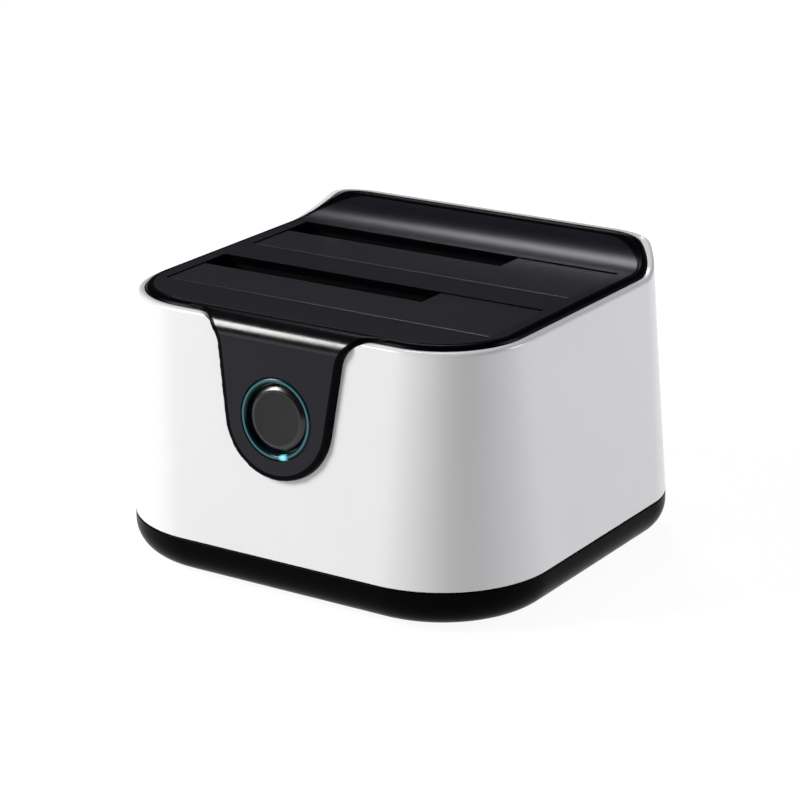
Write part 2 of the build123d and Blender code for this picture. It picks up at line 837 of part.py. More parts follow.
with BuildPart() as usb_insert:
    with BuildSketch(usb_plane.offset(usb_wall)):
        with Locations((0, -usb_upper_height / 2)):
            Rectangle(usb_width - 2 * usb_wall - usb_corner, usb_lower_height)
        with Locations((0, (usb_height - usb_upper_height) / 2 - usb_wall)):
            Rectangle(usb_upper_width, usb_upper_height)
    extrude(amount=usb_depth - usb_wall - usb_tongue_depth)
    with BuildSketch(usb_plane.offset(usb_wall)):
        with Locations((0, -usb_upper_height / 2)):
            Rectangle(usb_tongue_width, usb_tongue_height)
        with Locations((0, (usb_height - usb_upper_height) / 2 - usb_wall)):
            Rectangle(usb_upper_width - usb_corner, usb_corner)
    extrude(amount=usb_depth - usb_wall - usb_corner)
usb_insert.part.label = "usb_socket_insert"
export_step(usb_insert.part, "parts/usb_socket_insert.step")

# Power inlet: a moulded body with a round nose, and its centre pin
jack_rear = -front_wall(board_top + jack_height) - shell_wall - socket_gap
jack_nose = -front_wall(jack_height_middle) - socket_set_back - jack_rear
jack_plane = Plane(origin=(-jack_x, jack_rear, jack_height_middle), x_dir=(-1, 0, 0), z_dir=(0, 1, 0))
with BuildPart() as power_inlet:
    with BuildSketch(jack_plane):
        Rectangle(jack_width, jack_height)
    extrude(amount=-jack_depth)
    with BuildSketch(jack_plane):
        Circle(jack_nose_radius)
    extrude(amount=jack_nose)
    with BuildSketch(jack_plane.offset(jack_nose)):
        Circle(jack_bore_radius)
    extrude(amount=-jack_bore_depth, mode=Mode.SUBTRACT)
power_inlet.part.label = "power_inlet"
export_step(power_inlet.part, "parts/power_inlet.step")

with BuildPart() as inlet_pin:
    with BuildSketch(jack_plane.offset(jack_nose - jack_bore_depth)):
        Circle(jack_pin_radius)
    extrude(amount=jack_bore_depth - jack_pin_set_back)
    chamfer(inlet_pin.faces().sort_by(Axis.Y)[-1].edges(), jack_pin_radius / 2)
inlet_pin.part.label = "power_inlet_pin"
export_step(inlet_pin.part, "parts/power_inlet_pin.step")


# Parts that stand on the main board
with BuildPart() as bridge_chip:
    with BuildSketch(Plane.XY.offset(board_top)):
        with Locations(chip_place):
            Rectangle(chip_size, chip_size)
    extrude(amount=chip_height)
    chamfer(bridge_chip.faces().sort_by(Axis.Z)[-1].edges(), chip_height / 4)
bridge_chip.part.label = "bridge_chip"
export_step(bridge_chip.part, "parts/bridge_chip.step")

parts_y = frame_rear + capacitor_radius + capacitor_gap
with BuildPart() as capacitors:
    with BuildSketch(Plane.XY.offset(board_top)):
        with Locations((capacitor_x, parts_y)):
            with GridLocations(capacitor_pitch, 0, capacitor_count, 1):
                Circle(capacitor_radius)
    extrude(amount=capacitor_height)
    chamfer(capacitors.edges().group_by(Axis.Z)[-1], capacitor_groove)
capacitors.part.label = "capacitors"
export_step(capacitors.part, "parts/capacitors.step")

with BuildPart() as power_coils:
    with BuildSketch(Plane.XY.offset(board_top)):
        with Locations((-coil_x, parts_y)):
            with GridLocations(coil_pitch, 0, coil_count, 1):
                RectangleRounded(coil_size, coil_size, coil_corner)
    extrude(amount=coil_height)
    with BuildSketch(Plane.XY.offset(board_top + coil_height)):
        with Locations((-coil_x, parts_y)):
            with GridLocations(coil_pitch, 0, coil_count, 1):
                Circle(coil_size / 2 - coil_corner)
    extrude(amount=-coil_corner / 2, mode=Mode.SUBTRACT)
power_coils.part.label = "power_coils"
export_step(power_coils.part, "parts/power_coils.step")


# Power button, its switch, board, ring of light and lamps, all along the tongue's normal
bead_back = ring_shoulder + ring_flange
ring_length = button_board_depth - led_height - led_gap
with BuildPart() as light_ring:
    with BuildSketch(button_plane.offset(ring_proud)):
        Circle(ring_outer_radius)
        Circle(ring_inner_radius, mode=Mode.SUBTRACT)
    extrude(amount=-(ring_proud + bead_back))
    chamfer(light_ring.faces().sort_by(Axis.Y)[0].edges(), ring_edge)
    with BuildSketch(button_plane.offset(-ring_shoulder)):
        Circle(ring_flange_radius)
        Circle(ring_inner_radius, mode=Mode.SUBTRACT)
    extrude(amount=-ring_flange)
    with BuildSketch(button_plane.offset(-bead_back)):
        Circle(ring_flange_radius)
        Circle(ring_skirt_radius, mode=Mode.SUBTRACT)
    extrude(amount=bead_back - ring_length)
light_ring.part.label = "light_ring"
export_step(light_ring.part, "parts/light_ring.step")

flange_front = bead_back + button_rest_gap
flange_back = flange_front + button_flange
switch_front = button_board_depth - switch_height
plunger_front = switch_front - button_travel - button_rest_gap
with BuildPart() as power_button:
    with BuildSketch(button_plane.offset(-button_recess)):
        Circle(button_radius)
    extrude(amount=button_recess - flange_back)
    face_edge = power_button.faces().sort_by(Axis.Y)[0].edges()
    chamfer(face_edge, button_bevel_depth, button_radius - button_face_radius)
    with BuildSketch(button_plane.offset(-flange_front)):
        Circle(button_flange_radius)
    extrude(amount=-button_flange)
    with BuildSketch(button_plane.offset(-button_recess - button_wall)):
        Circle(button_face_radius)
    extrude(amount=-flange_back, mode=Mode.SUBTRACT)
    with BuildSketch(button_plane.offset(-button_recess - button_wall / 2)):
        Circle(stem_radius)
    extrude(amount=button_recess + button_wall / 2 - plunger_front)
power_button.part.label = "power_button"
export_step(power_button.part, "parts/power_button.step")

with BuildPart() as switch_plunger:
    with BuildSketch(button_plane.offset(-plunger_front)):
        Circle(plunger_radius)
    extrude(amount=-plunger_length)
switch_plunger.part.label = "switch_plunger"
export_step(switch_plunger.part, "parts/switch_plunger.step")

plunger_well = plunger_front + plunger_length + button_travel + button_rest_gap - switch_front
with BuildPart() as button_switch:
    with BuildSketch(button_plane.offset(-switch_front)):
        RectangleRounded(switch_width, switch_width, led_height)
    extrude(amount=-switch_height)
    with BuildSketch(button_plane.offset(-switch_front)):
        Circle(plunger_radius + plunger_gap)
    extrude(amount=-plunger_well, mode=Mode.SUBTRACT)
button_switch.part.label = "button_switch"
export_step(button_switch.part, "parts/button_switch.step")

with BuildPart() as button_board:
    with BuildSketch(button_plane.offset(-button_board_depth)):
        Circle(button_board_radius)
        SlotCenterToCenter(2 * button_post_offset, button_board_width, rotation=90)
        with Locations(*board_screw_places):
            Circle(board_screw_radius + screw_gap, mode=Mode.SUBTRACT)
    extrude(amount=-button_board_thickness)
button_board.part.label = "button_board"
export_step(button_board.part, "parts/button_board.step")

with BuildPart() as ring_lamps:
    with BuildSketch(button_plane.offset(-button_board_depth)):
        with PolarLocations(led_radius, lamp_count, start_angle=180 / lamp_count):
            Rectangle(led_width, led_length)
    extrude(amount=led_height)
ring_lamps.part.label = "ring_lamps"
export_step(ring_lamps.part, "parts/ring_lamps.step")


# Flat lead between the two boards: a header, a plug and the ribbon that joins them
back_of_board = button_board_depth + button_board_thickness
high_header = Plane(
    origin=button_plane.from_local_coords((0, -header_offset, -back_of_board)),
    x_dir=(1, 0, 0),
    z_dir=-button_plane.z_dir,
)
low_header = Plane(
    origin=(0, header_set_back - board_front, board_top), x_dir=(-1, 0, 0), z_dir=(0, 0, 1)
)
plug_width = header_width - 2 * header_wall - 2 * plug_gap
plug_thickness = header_height - 2 * header_wall - 2 * plug_gap
plug_length = header_depth - header_wall - plug_gap + plug_stand_out
plug_end = (0, header_depth / 2 + plug_stand_out, header_height / 2)
with BuildPart() as lead_headers:
    for plane in (high_header, low_header):
        with BuildSketch(plane):
            Rectangle(header_width, header_depth)
        extrude(amount=header_height)
        with BuildSketch(plane.offset(header_wall)):
            with Locations((0, header_wall)):
                Rectangle(header_width - 2 * header_wall, header_depth)
        extrude(amount=header_height - 2 * header_wall, mode=Mode.SUBTRACT)
lead_headers.part.label = "lead_headers"
export_step(lead_headers.part, "parts/lead_headers.step")

with BuildPart() as lead_plugs:
    for plane in (high_header, low_header):
        with BuildSketch(plane.offset(header_wall + plug_gap)):
            with Locations((0, (header_wall + plug_gap + plug_stand_out) / 2)):
                Rectangle(plug_width, plug_length)
        extrude(amount=plug_thickness)
lead_plugs.part.label = "lead_plugs"
export_step(lead_plugs.part, "parts/lead_plugs.step")

lead_top = high_header.from_local_coords(plug_end)
lead_end = low_header.from_local_coords(plug_end)
bend_y = lead_top.Y - wall_lean_share * (lead_top.Z - lead_end.Z)
with BuildPart() as button_lead:
    with BuildSketch(Plane.YZ):
        with BuildLine() as route:
            FilletPolyline(
                (lead_top.Y, lead_top.Z), (bend_y, lead_end.Z), (lead_end.Y, lead_end.Z),
                radius=lead_bend,
            )
        trace(route.edges(), line_width=lead_thickness)
    extrude(amount=lead_width / 2, both=True)
button_lead.part.label = "button_lead"
export_step(button_lead.part, "parts/button_lead.step")


def screws(plane, places, radius, length, head_radius, head_height):
    """Identical screws: heads behind a plane, and shanks through it towards its front."""
    with BuildPart() as group:
        with BuildSketch(plane.offset(-head_height)):
            with Locations(*places):
                Circle(head_radius)
        extrude(amount=head_height)
        outer_edges = group.edges().filter_by(
            lambda e: plane.to_local_coords(e.center()).Z < -head_height / 2
        )
        chamfer(outer_edges.filter_by(GeomType.CIRCLE), head_height * head_round_share)
        with BuildSketch(plane.offset(-head_height)):
            with Locations(*places):
                RegularPolygon(head_radius * socket_share, 6)
        extrude(amount=head_height * socket_share, mode=Mode.SUBTRACT)
        with BuildSketch(plane):
            with Locations(*places):
                Circle(radius)
        extrude(amount=length)
    return group.part


# Screws, each kind in one group
head_seat = foot_stand + head_sink + case_screw_head
screw_sets = {
    "case_screws": screws(
        Plane.XY.offset(head_seat), case_screw_places,
        case_screw_radius, case_screw_length, case_screw_head_radius, case_screw_head,
    ),
    "board_screws": screws(
        Plane.XY.offset(board_under), board_post_places,
        small_screw_radius, small_screw_length, small_screw_head_radius, small_screw_head,
    ),
    "cover_screws": screws(
        Plane.XY.offset(tab_top - cover_tab_thickness), cover_post_places,
        small_screw_radius, small_screw_length, small_screw_head_radius, small_screw_head,
    ),
    "button_board_screws": screws(
        button_plane.offset(-back_of_board), board_screw_places,
        board_screw_radius, board_screw_length, board_screw_head_radius, board_screw_head,
    ),
}
for name, group in screw_sets.items():
    group.label = name
    export_step(group, f"parts/{name}.step")
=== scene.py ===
import json
import math

import bmesh
import bpy
import numpy as np
from mathutils import Matrix, Vector


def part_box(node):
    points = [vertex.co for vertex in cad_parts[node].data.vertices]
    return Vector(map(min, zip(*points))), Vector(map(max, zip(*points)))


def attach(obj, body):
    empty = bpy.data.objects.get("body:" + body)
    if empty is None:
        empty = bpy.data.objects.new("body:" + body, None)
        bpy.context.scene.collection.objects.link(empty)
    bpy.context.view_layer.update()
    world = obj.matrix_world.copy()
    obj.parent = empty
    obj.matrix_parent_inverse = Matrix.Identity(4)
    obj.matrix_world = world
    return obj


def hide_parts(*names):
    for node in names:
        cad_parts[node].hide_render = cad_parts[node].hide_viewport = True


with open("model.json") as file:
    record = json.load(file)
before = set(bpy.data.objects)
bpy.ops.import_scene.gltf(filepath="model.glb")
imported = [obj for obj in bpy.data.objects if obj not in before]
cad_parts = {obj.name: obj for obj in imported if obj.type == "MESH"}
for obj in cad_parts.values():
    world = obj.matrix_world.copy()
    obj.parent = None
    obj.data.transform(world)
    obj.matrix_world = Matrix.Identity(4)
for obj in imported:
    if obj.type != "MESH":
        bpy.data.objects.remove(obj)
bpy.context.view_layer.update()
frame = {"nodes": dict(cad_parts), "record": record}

# A docking station for two hard drives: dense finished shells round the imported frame.
# Metres, in the frame's own axes: X along the front, Y to the back, Z up.
MM = 0.001

nodes = frame["nodes"]
shell_low, shell_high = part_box("outer_shell")
cover_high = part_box("top_cover")[1]
tray_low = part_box("base_tray")[0]

# Case form, driven by the frame's boxes where they give it
seam_half_width = shell_high.x
seam_half_depth = shell_high.y
seam_height = shell_low.z
case_height = 65.1 * MM
plate_height = seam_height + case_height
lean_share = 0.068
front_radii = (32.3 * MM, 24.4 * MM)
rear_radii = (24.0 * MM, 19.5 * MM)
shell_wall = 1.8 * MM
rim_drop = 1.3 * MM
crest_rim_drop = 0.3 * MM
rim_round = 1.1 * MM
ledge_width = 1.5 * MM
ledge_thickness = 1.6 * MM
cover_gap = 0.15 * MM
cover_wall = 1.8 * MM
cover_skirt = 6.0 * MM
plate_thickness = 2.2 * MM
edge_round = 1.8 * MM
ramp_gap = 0.6 * MM
ramp_run = 16.0 * MM
ramp_rise = cover_high.z - plate_height
crest_radius = 3.0 * MM
cover_inset = shell_wall + cover_gap

# Bays, tongue and button
bay_half_width = 52.0 * MM
bay_depth = 27.45 * MM
bay_pitch = 40.14 * MM
front_margin = 16.5 * MM
tongue_proud = 1.7 * MM
tongue_bend = 5.4 * MM
tongue_half_width = 20.5 * MM
tongue_end_radius = 16.8 * MM
tongue_flare = 8.5 * MM
tongue_root = 10.0 * MM
flare_reach = 11.5 * MM
shoulder_half_width = tongue_half_width + flare_reach
notch_gap = 0.15 * MM
button_drop = 25.4 * MM

# Cutters: how far out they reach, where they end inside the hollow and how far they pass a face
far = 200 * MM
cutter_end = 20.5 * MM
overrun = 1.0 * MM

# Edges sharper than these angles, in radians, stay sharp or get a round
turned_angle = 0.6
fine_angle = 0.7
case_angle = 0.9

# Steps along each stretch of the case's outline, and rounds that settle a height on a slope
FRONT_STEPS = 40
CORNER_STEPS = 30
SIDE_STEPS = 16
SETTLE_ROUNDS = 4

# Steps and sides of other curves
ARC_STEPS = 24
BOX_CORNER_STEPS = 8
CIRCLE_SIDES = 96
TURNED_SIDES = 160


def front_wall(height):
    """The place along Y of the case's outer front face at a height."""
    return lean_share * (height - seam_height) - seam_half_depth


front_bay = front_wall(plate_height) + shell_wall + front_margin
bays = {"front": front_bay, "rear": front_bay + bay_pitch}
ramp_foot = bays["rear"] + bay_depth + ramp_gap
cover_foot = plate_height - cover_skirt
plate_under = plate_height - plate_thickness
button_height = plate_height - button_drop


def outline_stations():
    """One row of shares for each station of the right-hand half, from the front to the back."""
    rows = []
    for step in range(CORNER_STEPS + 1):
        angle = math.pi / 2 * step / CORNER_STEPS
        rows.append((1.0, 0.0, math.sin(angle), -math.cos(angle)))
    for step in range(1, SIDE_STEPS):
        share = step / SIDE_STEPS
        rows.append((1 - share, share, 1.0, 0.0))
    for step in range(CORNER_STEPS + 1):
        angle = math.pi / 2 * step / CORNER_STEPS
        rows.append((0.0, 1.0, math.cos(angle), math.sin(angle)))
    return np.array(rows)


ROWS = outline_stations()


def row_places(height, inset):
    """Half width and Y of each row at its own height, with the outline drawn in by an inset."""
    rise = height - seam_height
    up_share = rise / (plate_height - seam_height)
    half_width = seam_half_width - lean_share * rise - inset
    half_depth = seam_half_depth - lean_share * rise - inset
    front = front_radii[0] + (front_radii[1] - front_radii[0]) * up_share - inset
    rear = rear_radii[0] + (rear_radii[1] - rear_radii[0]) * up_share - inset
    front_part, rear_part, out_x, out_y = ROWS.T
    radius = front_part * front + rear_part * rear
    width = half_width - radius + radius * out_x
    place = -front_part * (half_depth - front) + rear_part * (half_depth - rear) + radius * out_y
    return width, place


def top_profile(place, level, rise):
    """Height of a top surface: level at the front, then a hollow ramp and a rounded crest."""
    slope = 2 * math.atan(rise / ramp_run)
    hollow = ramp_run / math.sin(slope) - crest_radius
    along = np.clip(place - ramp_foot, 0, ramp_run)
    turn = hollow * math.sin(slope)
    low_part = level + hollow - np.sqrt(np.maximum(hollow**2 - np.minimum(along, turn) ** 2, 0))
    high_part = level + rise - crest_radius
    high_part = high_part + np.sqrt(np.maximum(crest_radius**2 - (ramp_run - along) ** 2, 0))
    return np.where(along <= turn, low_part, high_part)


def solve_rows(inset, height_of):
    """Rows whose height depends on where they lie, settled in a few rounds."""
    height = np.full(len(ROWS), plate_height)
    for _ in range(SETTLE_ROUNDS):
        width, place = row_places(height, inset)
        height = height_of(place)
    return width, place, height


def grid_rows(width, place, height):
    """The full grid of points inside a ring, row by row from front to back."""
    shares = np.linspace(-1, 1, FRONT_STEPS + 1)
    return [[(w * s, y, z) for s in shares] for w, y, z in zip(width, place, height)]


def ring_of(rows):
    """The points round the edge of a grid of rows, anticlockwise from the front left."""
    front, back = rows[0], rows[-1]
    right = [row[-1] for row in rows[1:-1]]
    left = [row[0] for row in rows[1:-1]]
    return front + right + back[::-1] + left[::-1]


def new_object(name, mesh_maker):
    """An object from a function that fills a bmesh."""
    work = bmesh.new()
    mesh_maker(work)
    bmesh.ops.recalc_face_normals(work, faces=work.faces)
    mesh = bpy.data.meshes.new(name)
    work.to_mesh(mesh)
    work.free()
    made = bpy.data.objects.new(name, mesh)
    bpy.context.scene.collection.objects.link(made)
    return made


def join_rings(work, rings, closed):
    """Quads between successive rings of equally many points."""
    made = [[work.verts.new(point) for point in ring] for ring in rings]
    pairs = list(zip(made, made[1:]))
    if closed:
        pairs.append((made[-1], made[0]))
    for first, second in pairs:
        count = len(first)
        for k in range(count):
            work.faces.new((first[k], first[(k + 1) % count], second[(k + 1) % count], second[k]))
    return made


def cap_grid(work, rows, edge):
    """Fills the inside of a ring with the grid of rows that it was taken from."""
    columns = len(rows[0])
    count = len(rows)
    inner = {}
    for i in range(1, count - 1):
        for j in range(1, columns - 1):
            inner[i, j] = work.verts.new(rows[i][j])
    right_start = columns
    back_start = right_start + count - 2
    left_start = back_start + columns

    def vertex(i, j):
        if i == 0:
            return edge[j]
        if i == count - 1:
            return edge[back_start + columns - 1 - j]
        if j == columns - 1:
            return edge[right_start + i - 1]
        if j == 0:
            return edge[left_start + count - 2 - i]
        return inner[i, j]

    for i in range(count - 1):
        for j in range(columns - 1):
            work.faces.new(
                (vertex(i, j), vertex(i, j + 1), vertex(i + 1, j + 1), vertex(i + 1, j))
            )


def prism(name, points, low, high, along):
    """A closed outline in two axes, run out along the third between two places."""
    order = {"X": (2, 0, 1), "Y": (0, 2, 1), "Z": (0, 1, 2)}[along]

    def fill(work):
        rings = [
            [tuple((first, second, place)[k] for k in order) for first, second in points]
            for place in (low, high)
        ]
        for end in join_rings(work, rings, closed=False):
            work.faces.new(end)

    return new_object(name, fill)


def apply_modifiers(target):
    """Makes what the modifiers show the object's own mesh, with no finish yet."""
    graph = bpy.context.evaluated_depsgraph_get()
    mesh = bpy.data.meshes.new_from_object(target.evaluated_get(graph))
    target.modifiers.clear()
    mesh.materials.clear()
    target.data = mesh


def combine(target, cutter, operation):
    """Applies a boolean and removes the object that did it."""
    modifier = target.modifiers.new("combine", "BOOLEAN")
    modifier.operation = operation
    modifier.solver = "MANIFOLD"
    modifier.object = cutter
    apply_modifiers(target)
    bpy.data.objects.remove(cutter)


def fine_round(piece, width, angle):
    """A small round on every edge sharper than an angle."""
    bevel = piece.modifiers.new("edge_round", "BEVEL")
    bevel.width = width
    bevel.segments = 2
    bevel.limit_method = "ANGLE"
    bevel.angle_limit = angle
    bevel.use_clamp_overlap = True


def settle(piece, angle, width=0.0):
    """Smooth shading that the large faces lead, with sharp edges kept or finely rounded."""
    if width:
        fine_round(piece, width, angle)
    mesh = piece.data
    mesh.polygons.foreach_set("use_smooth", [True] * len(mesh.polygons))
    mesh.set_sharp_from_angle(angle=angle)
    weighted = piece.modifiers.new("shading", "WEIGHTED_NORMAL")
    weighted.keep_sharp = True


def wall_rings(inset, low, high_of, count):
    """Rings up a wall from a level to a height that depends on the place."""
    top = solve_rows(inset, high_of)[2]
    rings = []
    for step in range(count + 1):
        height = low + (top - low) * step / count
        wide, deep = row_places(height, inset)
        rings.append(ring_of(grid_rows(wide, deep, height)))
    return rings


def rounded_rings(inset, radius, height_of, count):
    """Rings over a quarter round at the top of a wall, from the wall to the top surface."""
    rings = []
    for step in range(1, count + 1):
        angle = math.pi / 2 * step / count
        drawn_in = inset + radius * (1 - math.cos(angle))
        drop = radius * (1 - math.sin(angle))
        width, place, height = solve_rows(drawn_in, lambda y: height_of(y) - drop)
        rings.append(ring_of(grid_rows(width, place, height)))
    return rings


def level_ring(inset, height):
    """The outline at one level, drawn in by an inset."""
    level = np.full(len(ROWS), height)
    width, place = row_places(level, inset)
    return ring_of(grid_rows(width, place, level))


def arc(centre, radius, start, end, steps=ARC_STEPS):
    """Points along an arc, by angle in radians."""
    turns = [start + (end - start) * k / steps for k in range(steps + 1)]
    return [(centre[0] + radius * math.cos(t), centre[1] + radius * math.sin(t)) for t in turns]


def rounded_corner(before, corner, after, radius):
    """The arc that rounds a corner of a path."""
    origin = Vector(corner)
    to_before = (Vector(before) - origin).normalized()
    to_after = (Vector(after) - origin).normalized()
    half = to_before.angle(to_after) / 2
    middle = (to_before + to_after).normalized()
    centre = origin + middle * (radius / math.sin(half))
    start = origin + to_before * (radius / math.tan(half)) - centre
    end = origin + to_after * (radius / math.tan(half)) - centre
    begin = math.atan2(start.y, start.x)
    turn = (math.atan2(end.y, end.x) - begin + math.pi) % (2 * math.pi) - math.pi
    return arc(tuple(centre), radius, begin, begin + turn)


def tongue_points(gap):
    """The tongue seen from the front: a round end, near-straight sides and flared shoulders."""
    level = plate_height - rim_drop
    corner = tongue_half_width + gap
    radius = tongue_end_radius + gap
    rise = level - button_height
    touch = math.atan2(rise, corner) - math.acos(radius / math.hypot(corner, rise))
    end = (radius * math.cos(touch), button_height + radius * math.sin(touch))
    shoulder = (shoulder_half_width, level)
    flare = rounded_corner(end, (corner, level), shoulder, tongue_flare - gap)
    right = flare + [shoulder, (shoulder_half_width, far)]
    left = [(-x, z) for x, z in reversed(right)]
    bottom = arc((0, button_height), radius, math.pi - touch, 2 * math.pi + touch, 2 * ARC_STEPS)
    return bottom + right + left


def shell_top(place):
    """Height of the white rim."""
    return top_profile(place, plate_height - rim_drop, ramp_rise + rim_drop - crest_rim_drop)


def cover_top(place):
    """Height of the cover's upper side."""
    return top_profile(place, plate_height, ramp_rise)


def cover_underside(place):
    """Height of the cover's underside."""
    return top_profile(place, plate_under, ramp_rise)


def circle(centre, radius):
    """A closed circle of points."""
    last = CIRCLE_SIDES - 1
    return arc(centre, radius, 0, 2 * math.pi * last / CIRCLE_SIDES, last)


def rounded_box(centre, width, height, radius):
    """A rectangle with round corners, anticlockwise."""
    points = []
    for turn, sx, sy in ((0, 1, 1), (1, -1, 1), (2, -1, -1), (3, 1, -1)):
        middle = (
            centre[0] + sx * (width / 2 - radius),
            centre[1] + sy * (height / 2 - radius),
        )
        start, end = turn * math.pi / 2, (turn + 1) * math.pi / 2
        points += arc(middle, radius, start, end, BOX_CORNER_STEPS)
    return points


def keep_piece(piece, body, slot_name, *replaced):
    """Rides a piece on its body and hides the nodes that it stands for."""
    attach(piece, body)
    if replaced:
        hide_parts(*replaced)


# White shell with its notch and sockets cut through it
usb_low, usb_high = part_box("usb_socket_shell")
jack_low, jack_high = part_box("power_inlet")
socket_gap = 0.35 * MM
jack_nose_radius = 4.0 * MM
usb_corner = 1.4 * MM
seam_round = 0.4 * MM
shell_edge = 0.25 * MM
WALL_STEPS = 14
RIM_STEPS = 7


def fill_shell(work):
    """The outer wall up to its rounded rim, then the inner wall down past the ledge."""
    rings = [
        level_ring(seam_round, seam_height),
        level_ring(seam_round / 4, seam_height + seam_round / 2),
    ]
    rings += wall_rings(0, seam_height + seam_round, lambda y: shell_top(y) - rim_round, WALL_STEPS)
    rings += rounded_rings(0, rim_round, shell_top, RIM_STEPS)
    width, place, height = solve_rows(shell_wall, shell_top)
    rings.append(ring_of(grid_rows(width, place, height)))
    rings.append(level_ring(shell_wall, cover_foot))
    rings.append(level_ring(shell_wall + ledge_width, cover_foot))
    rings.append(level_ring(shell_wall + ledge_width, cover_foot - ledge_thickness))
    rings.append(level_ring(shell_wall, cover_foot - ledge_thickness))
    rings.append(level_ring(shell_wall, seam_height))
    join_rings(work, rings, closed=True)


def make_shell():
    """The white shell, with the tongue's notch, the sockets' holes and its finish."""
    shell = new_object("white_shell", fill_shell)
    notch = prism("notch", tongue_points(notch_gap), -far, -cutter_end, "Y")
    combine(shell, notch, "DIFFERENCE")
    usb_middle = ((usb_low.x + usb_high.x) / 2, (usb_low.z + usb_high.z) / 2)
    usb_hole = rounded_box(
        usb_middle,
        usb_high.x - usb_low.x + 2 * socket_gap,
        usb_high.z - usb_low.z + 2 * socket_gap,
        usb_corner,
    )
    jack_middle = ((jack_low.x + jack_high.x) / 2, (jack_low.z + jack_high.z) / 2)
    jack_hole = circle(jack_middle, jack_nose_radius + socket_gap)
    for name, points in (("usb_hole", usb_hole), ("jack_hole", jack_hole)):
        combine(shell, prism(name, points, cutter_end, far, "Y"), "DIFFERENCE")
    settle(shell, case_angle, shell_edge)
    shell.data.materials.append(finishes["white_gloss_plastic"])
    keep_piece(shell, "housing", "white_gloss_plastic", "outer_shell")


# Black top cover: lid, ramp and crest in one, with the tongue, bays and ring hole
groove_width = 0.45 * MM
groove_depth = 0.16 * MM
groove_slope = 0.12
fine_edge = 0.22 * MM
bay_corner = 0.5 * MM
LID_WALL_STEPS = 5
LID_EDGE_STEPS = 8

# The tongue's soft round, and how far it laps over the groove's front edge
tongue_voxel = 0.35 * MM
relax_share = 0.5
RELAX_ROUNDS = 28
tongue_lap = groove_width / 16


def fill_lid(work):
    """The underside, the walls, the rounded edge, the groove and the upper side."""
    inner = cover_inset + cover_wall
    width, place, height = solve_rows(inner, cover_underside)
    under_rows = grid_rows(width, place, height)
    rings = [ring_of(under_rows), level_ring(inner, cover_foot), level_ring(cover_inset, cover_foot)]
    wall = wall_rings(cover_inset, cover_foot, lambda y: cover_top(y) - edge_round, LID_WALL_STEPS)
    rings += wall[1:]
    rings += rounded_rings(cover_inset, edge_round, cover_top, LID_EDGE_STEPS)
    edge = cover_inset + edge_round
    for across, depth in ((groove_slope, 1.0), (1 - groove_slope, 1.0), (1.0, 0.0)):
        drop = depth * groove_depth
        width, place, height = solve_rows(edge + across * groove_width, lambda y: cover_top(y) - drop)
        top_rows = grid_rows(width, place, height)
        rings.append(ring_of(top_rows))
    made = join_rings(work, rings, closed=False)
    cap_grid(work, top_rows, made[-1])
    cap_grid(work, under_rows, made[0])


def melt_edges(piece):
    """Rounds every edge of a piece softly: an even fine mesh is made and relaxed."""
    even = piece.modifiers.new("even_mesh", "REMESH")
    even.mode = "VOXEL"
    even.voxel_size = tongue_voxel
    relax = piece.modifiers.new("relax", "SMOOTH")
    relax.factor = relax_share
    relax.iterations = RELAX_ROUNDS
    apply_modifiers(piece)


def tongue_solid():
    """The cover's plate bent down over the front, cut to its outline and flared at its shoulders."""
    face_top = front_wall(plate_height) - tongue_proud
    low = button_height - tongue_end_radius - overrun
    root = face_top + tongue_bend + tongue_root
    foot = front_wall(low)
    bend = rounded_corner(
        (root, plate_height), (face_top, plate_height), (foot - tongue_proud, low), tongue_bend
    )
    side = [(root, plate_height)] + bend + [
        (foot - tongue_proud, low),
        (foot + cover_inset, low),
        (front_wall(plate_under) + cover_inset, plate_under),
        (root, plate_under),
    ]
    tongue = prism("tongue", side, -shoulder_half_width, shoulder_half_width, "X")
    combine(tongue, prism("outline", tongue_points(0), -far, -cutter_end, "Y"), "INTERSECT")
    level = front_wall(plate_height) + cover_inset
    corner = (tongue_half_width, level)
    shoulder = (shoulder_half_width, level)
    flare = rounded_corner((tongue_half_width, -far), corner, shoulder, tongue_flare)
    right = [(tongue_half_width, -far)] + flare + [shoulder, (shoulder_half_width, 0)]
    plan = right + [(-x, y) for x, y in reversed(right)]
    combine(tongue, prism("plan", plan, low, far, "Z"), "INTERSECT")
    melt_edges(tongue)
    behind = front_wall(plate_height) + cover_inset + edge_round + tongue_lap
    spare = [(-far, behind), (far, behind), (far, far), (-far, far)]
    combine(tongue, prism("spare", spare, -far, far, "Z"), "DIFFERENCE")
    return tongue


# The button's own axes: across, up the tongue and out of it
lean_angle = math.atan(lean_share)
out_of_face = Vector((0, -math.cos(lean_angle), math.sin(lean_angle)))
up_the_face = Vector((0, math.sin(lean_angle), math.cos(lean_angle)))
button_centre = Vector((0, front_wall(button_height) - tongue_proud, button_height))
button_frame = Matrix.Translation(button_centre) @ Matrix(
    ((1, 0, 0), tuple(up_the_face), tuple(out_of_face))
).transposed().to_4x4()


def lathe(name, profile, closed):
    """A turned piece on the button's axis, from pairs of a radius and a place along the axis."""

    def fill(work):
        rings = []
        for radius, out in profile:
            count = 1 if radius == 0 else TURNED_SIDES
            turns = [2 * math.pi * k / TURNED_SIDES for k in range(count)]
            places = [(radius * math.cos(t), radius * math.sin(t), out) for t in turns]
            rings.append([work.verts.new(button_frame @ Vector(p)) for p in places])
        pairs = list(zip(rings, rings[1:]))
        if closed:
            pairs.append((rings[-1], rings[0]))
        for first, second in pairs:
            for k in range(TURNED_SIDES):
                after = (k + 1) % TURNED_SIDES
                corners = (
                    first[k % len(first)],
                    first[after % len(first)],
                    second[after % len(second)],
                    second[k % len(second)],
                )
                work.faces.new(list(dict.fromkeys(corners)))

    return new_object(name, fill)


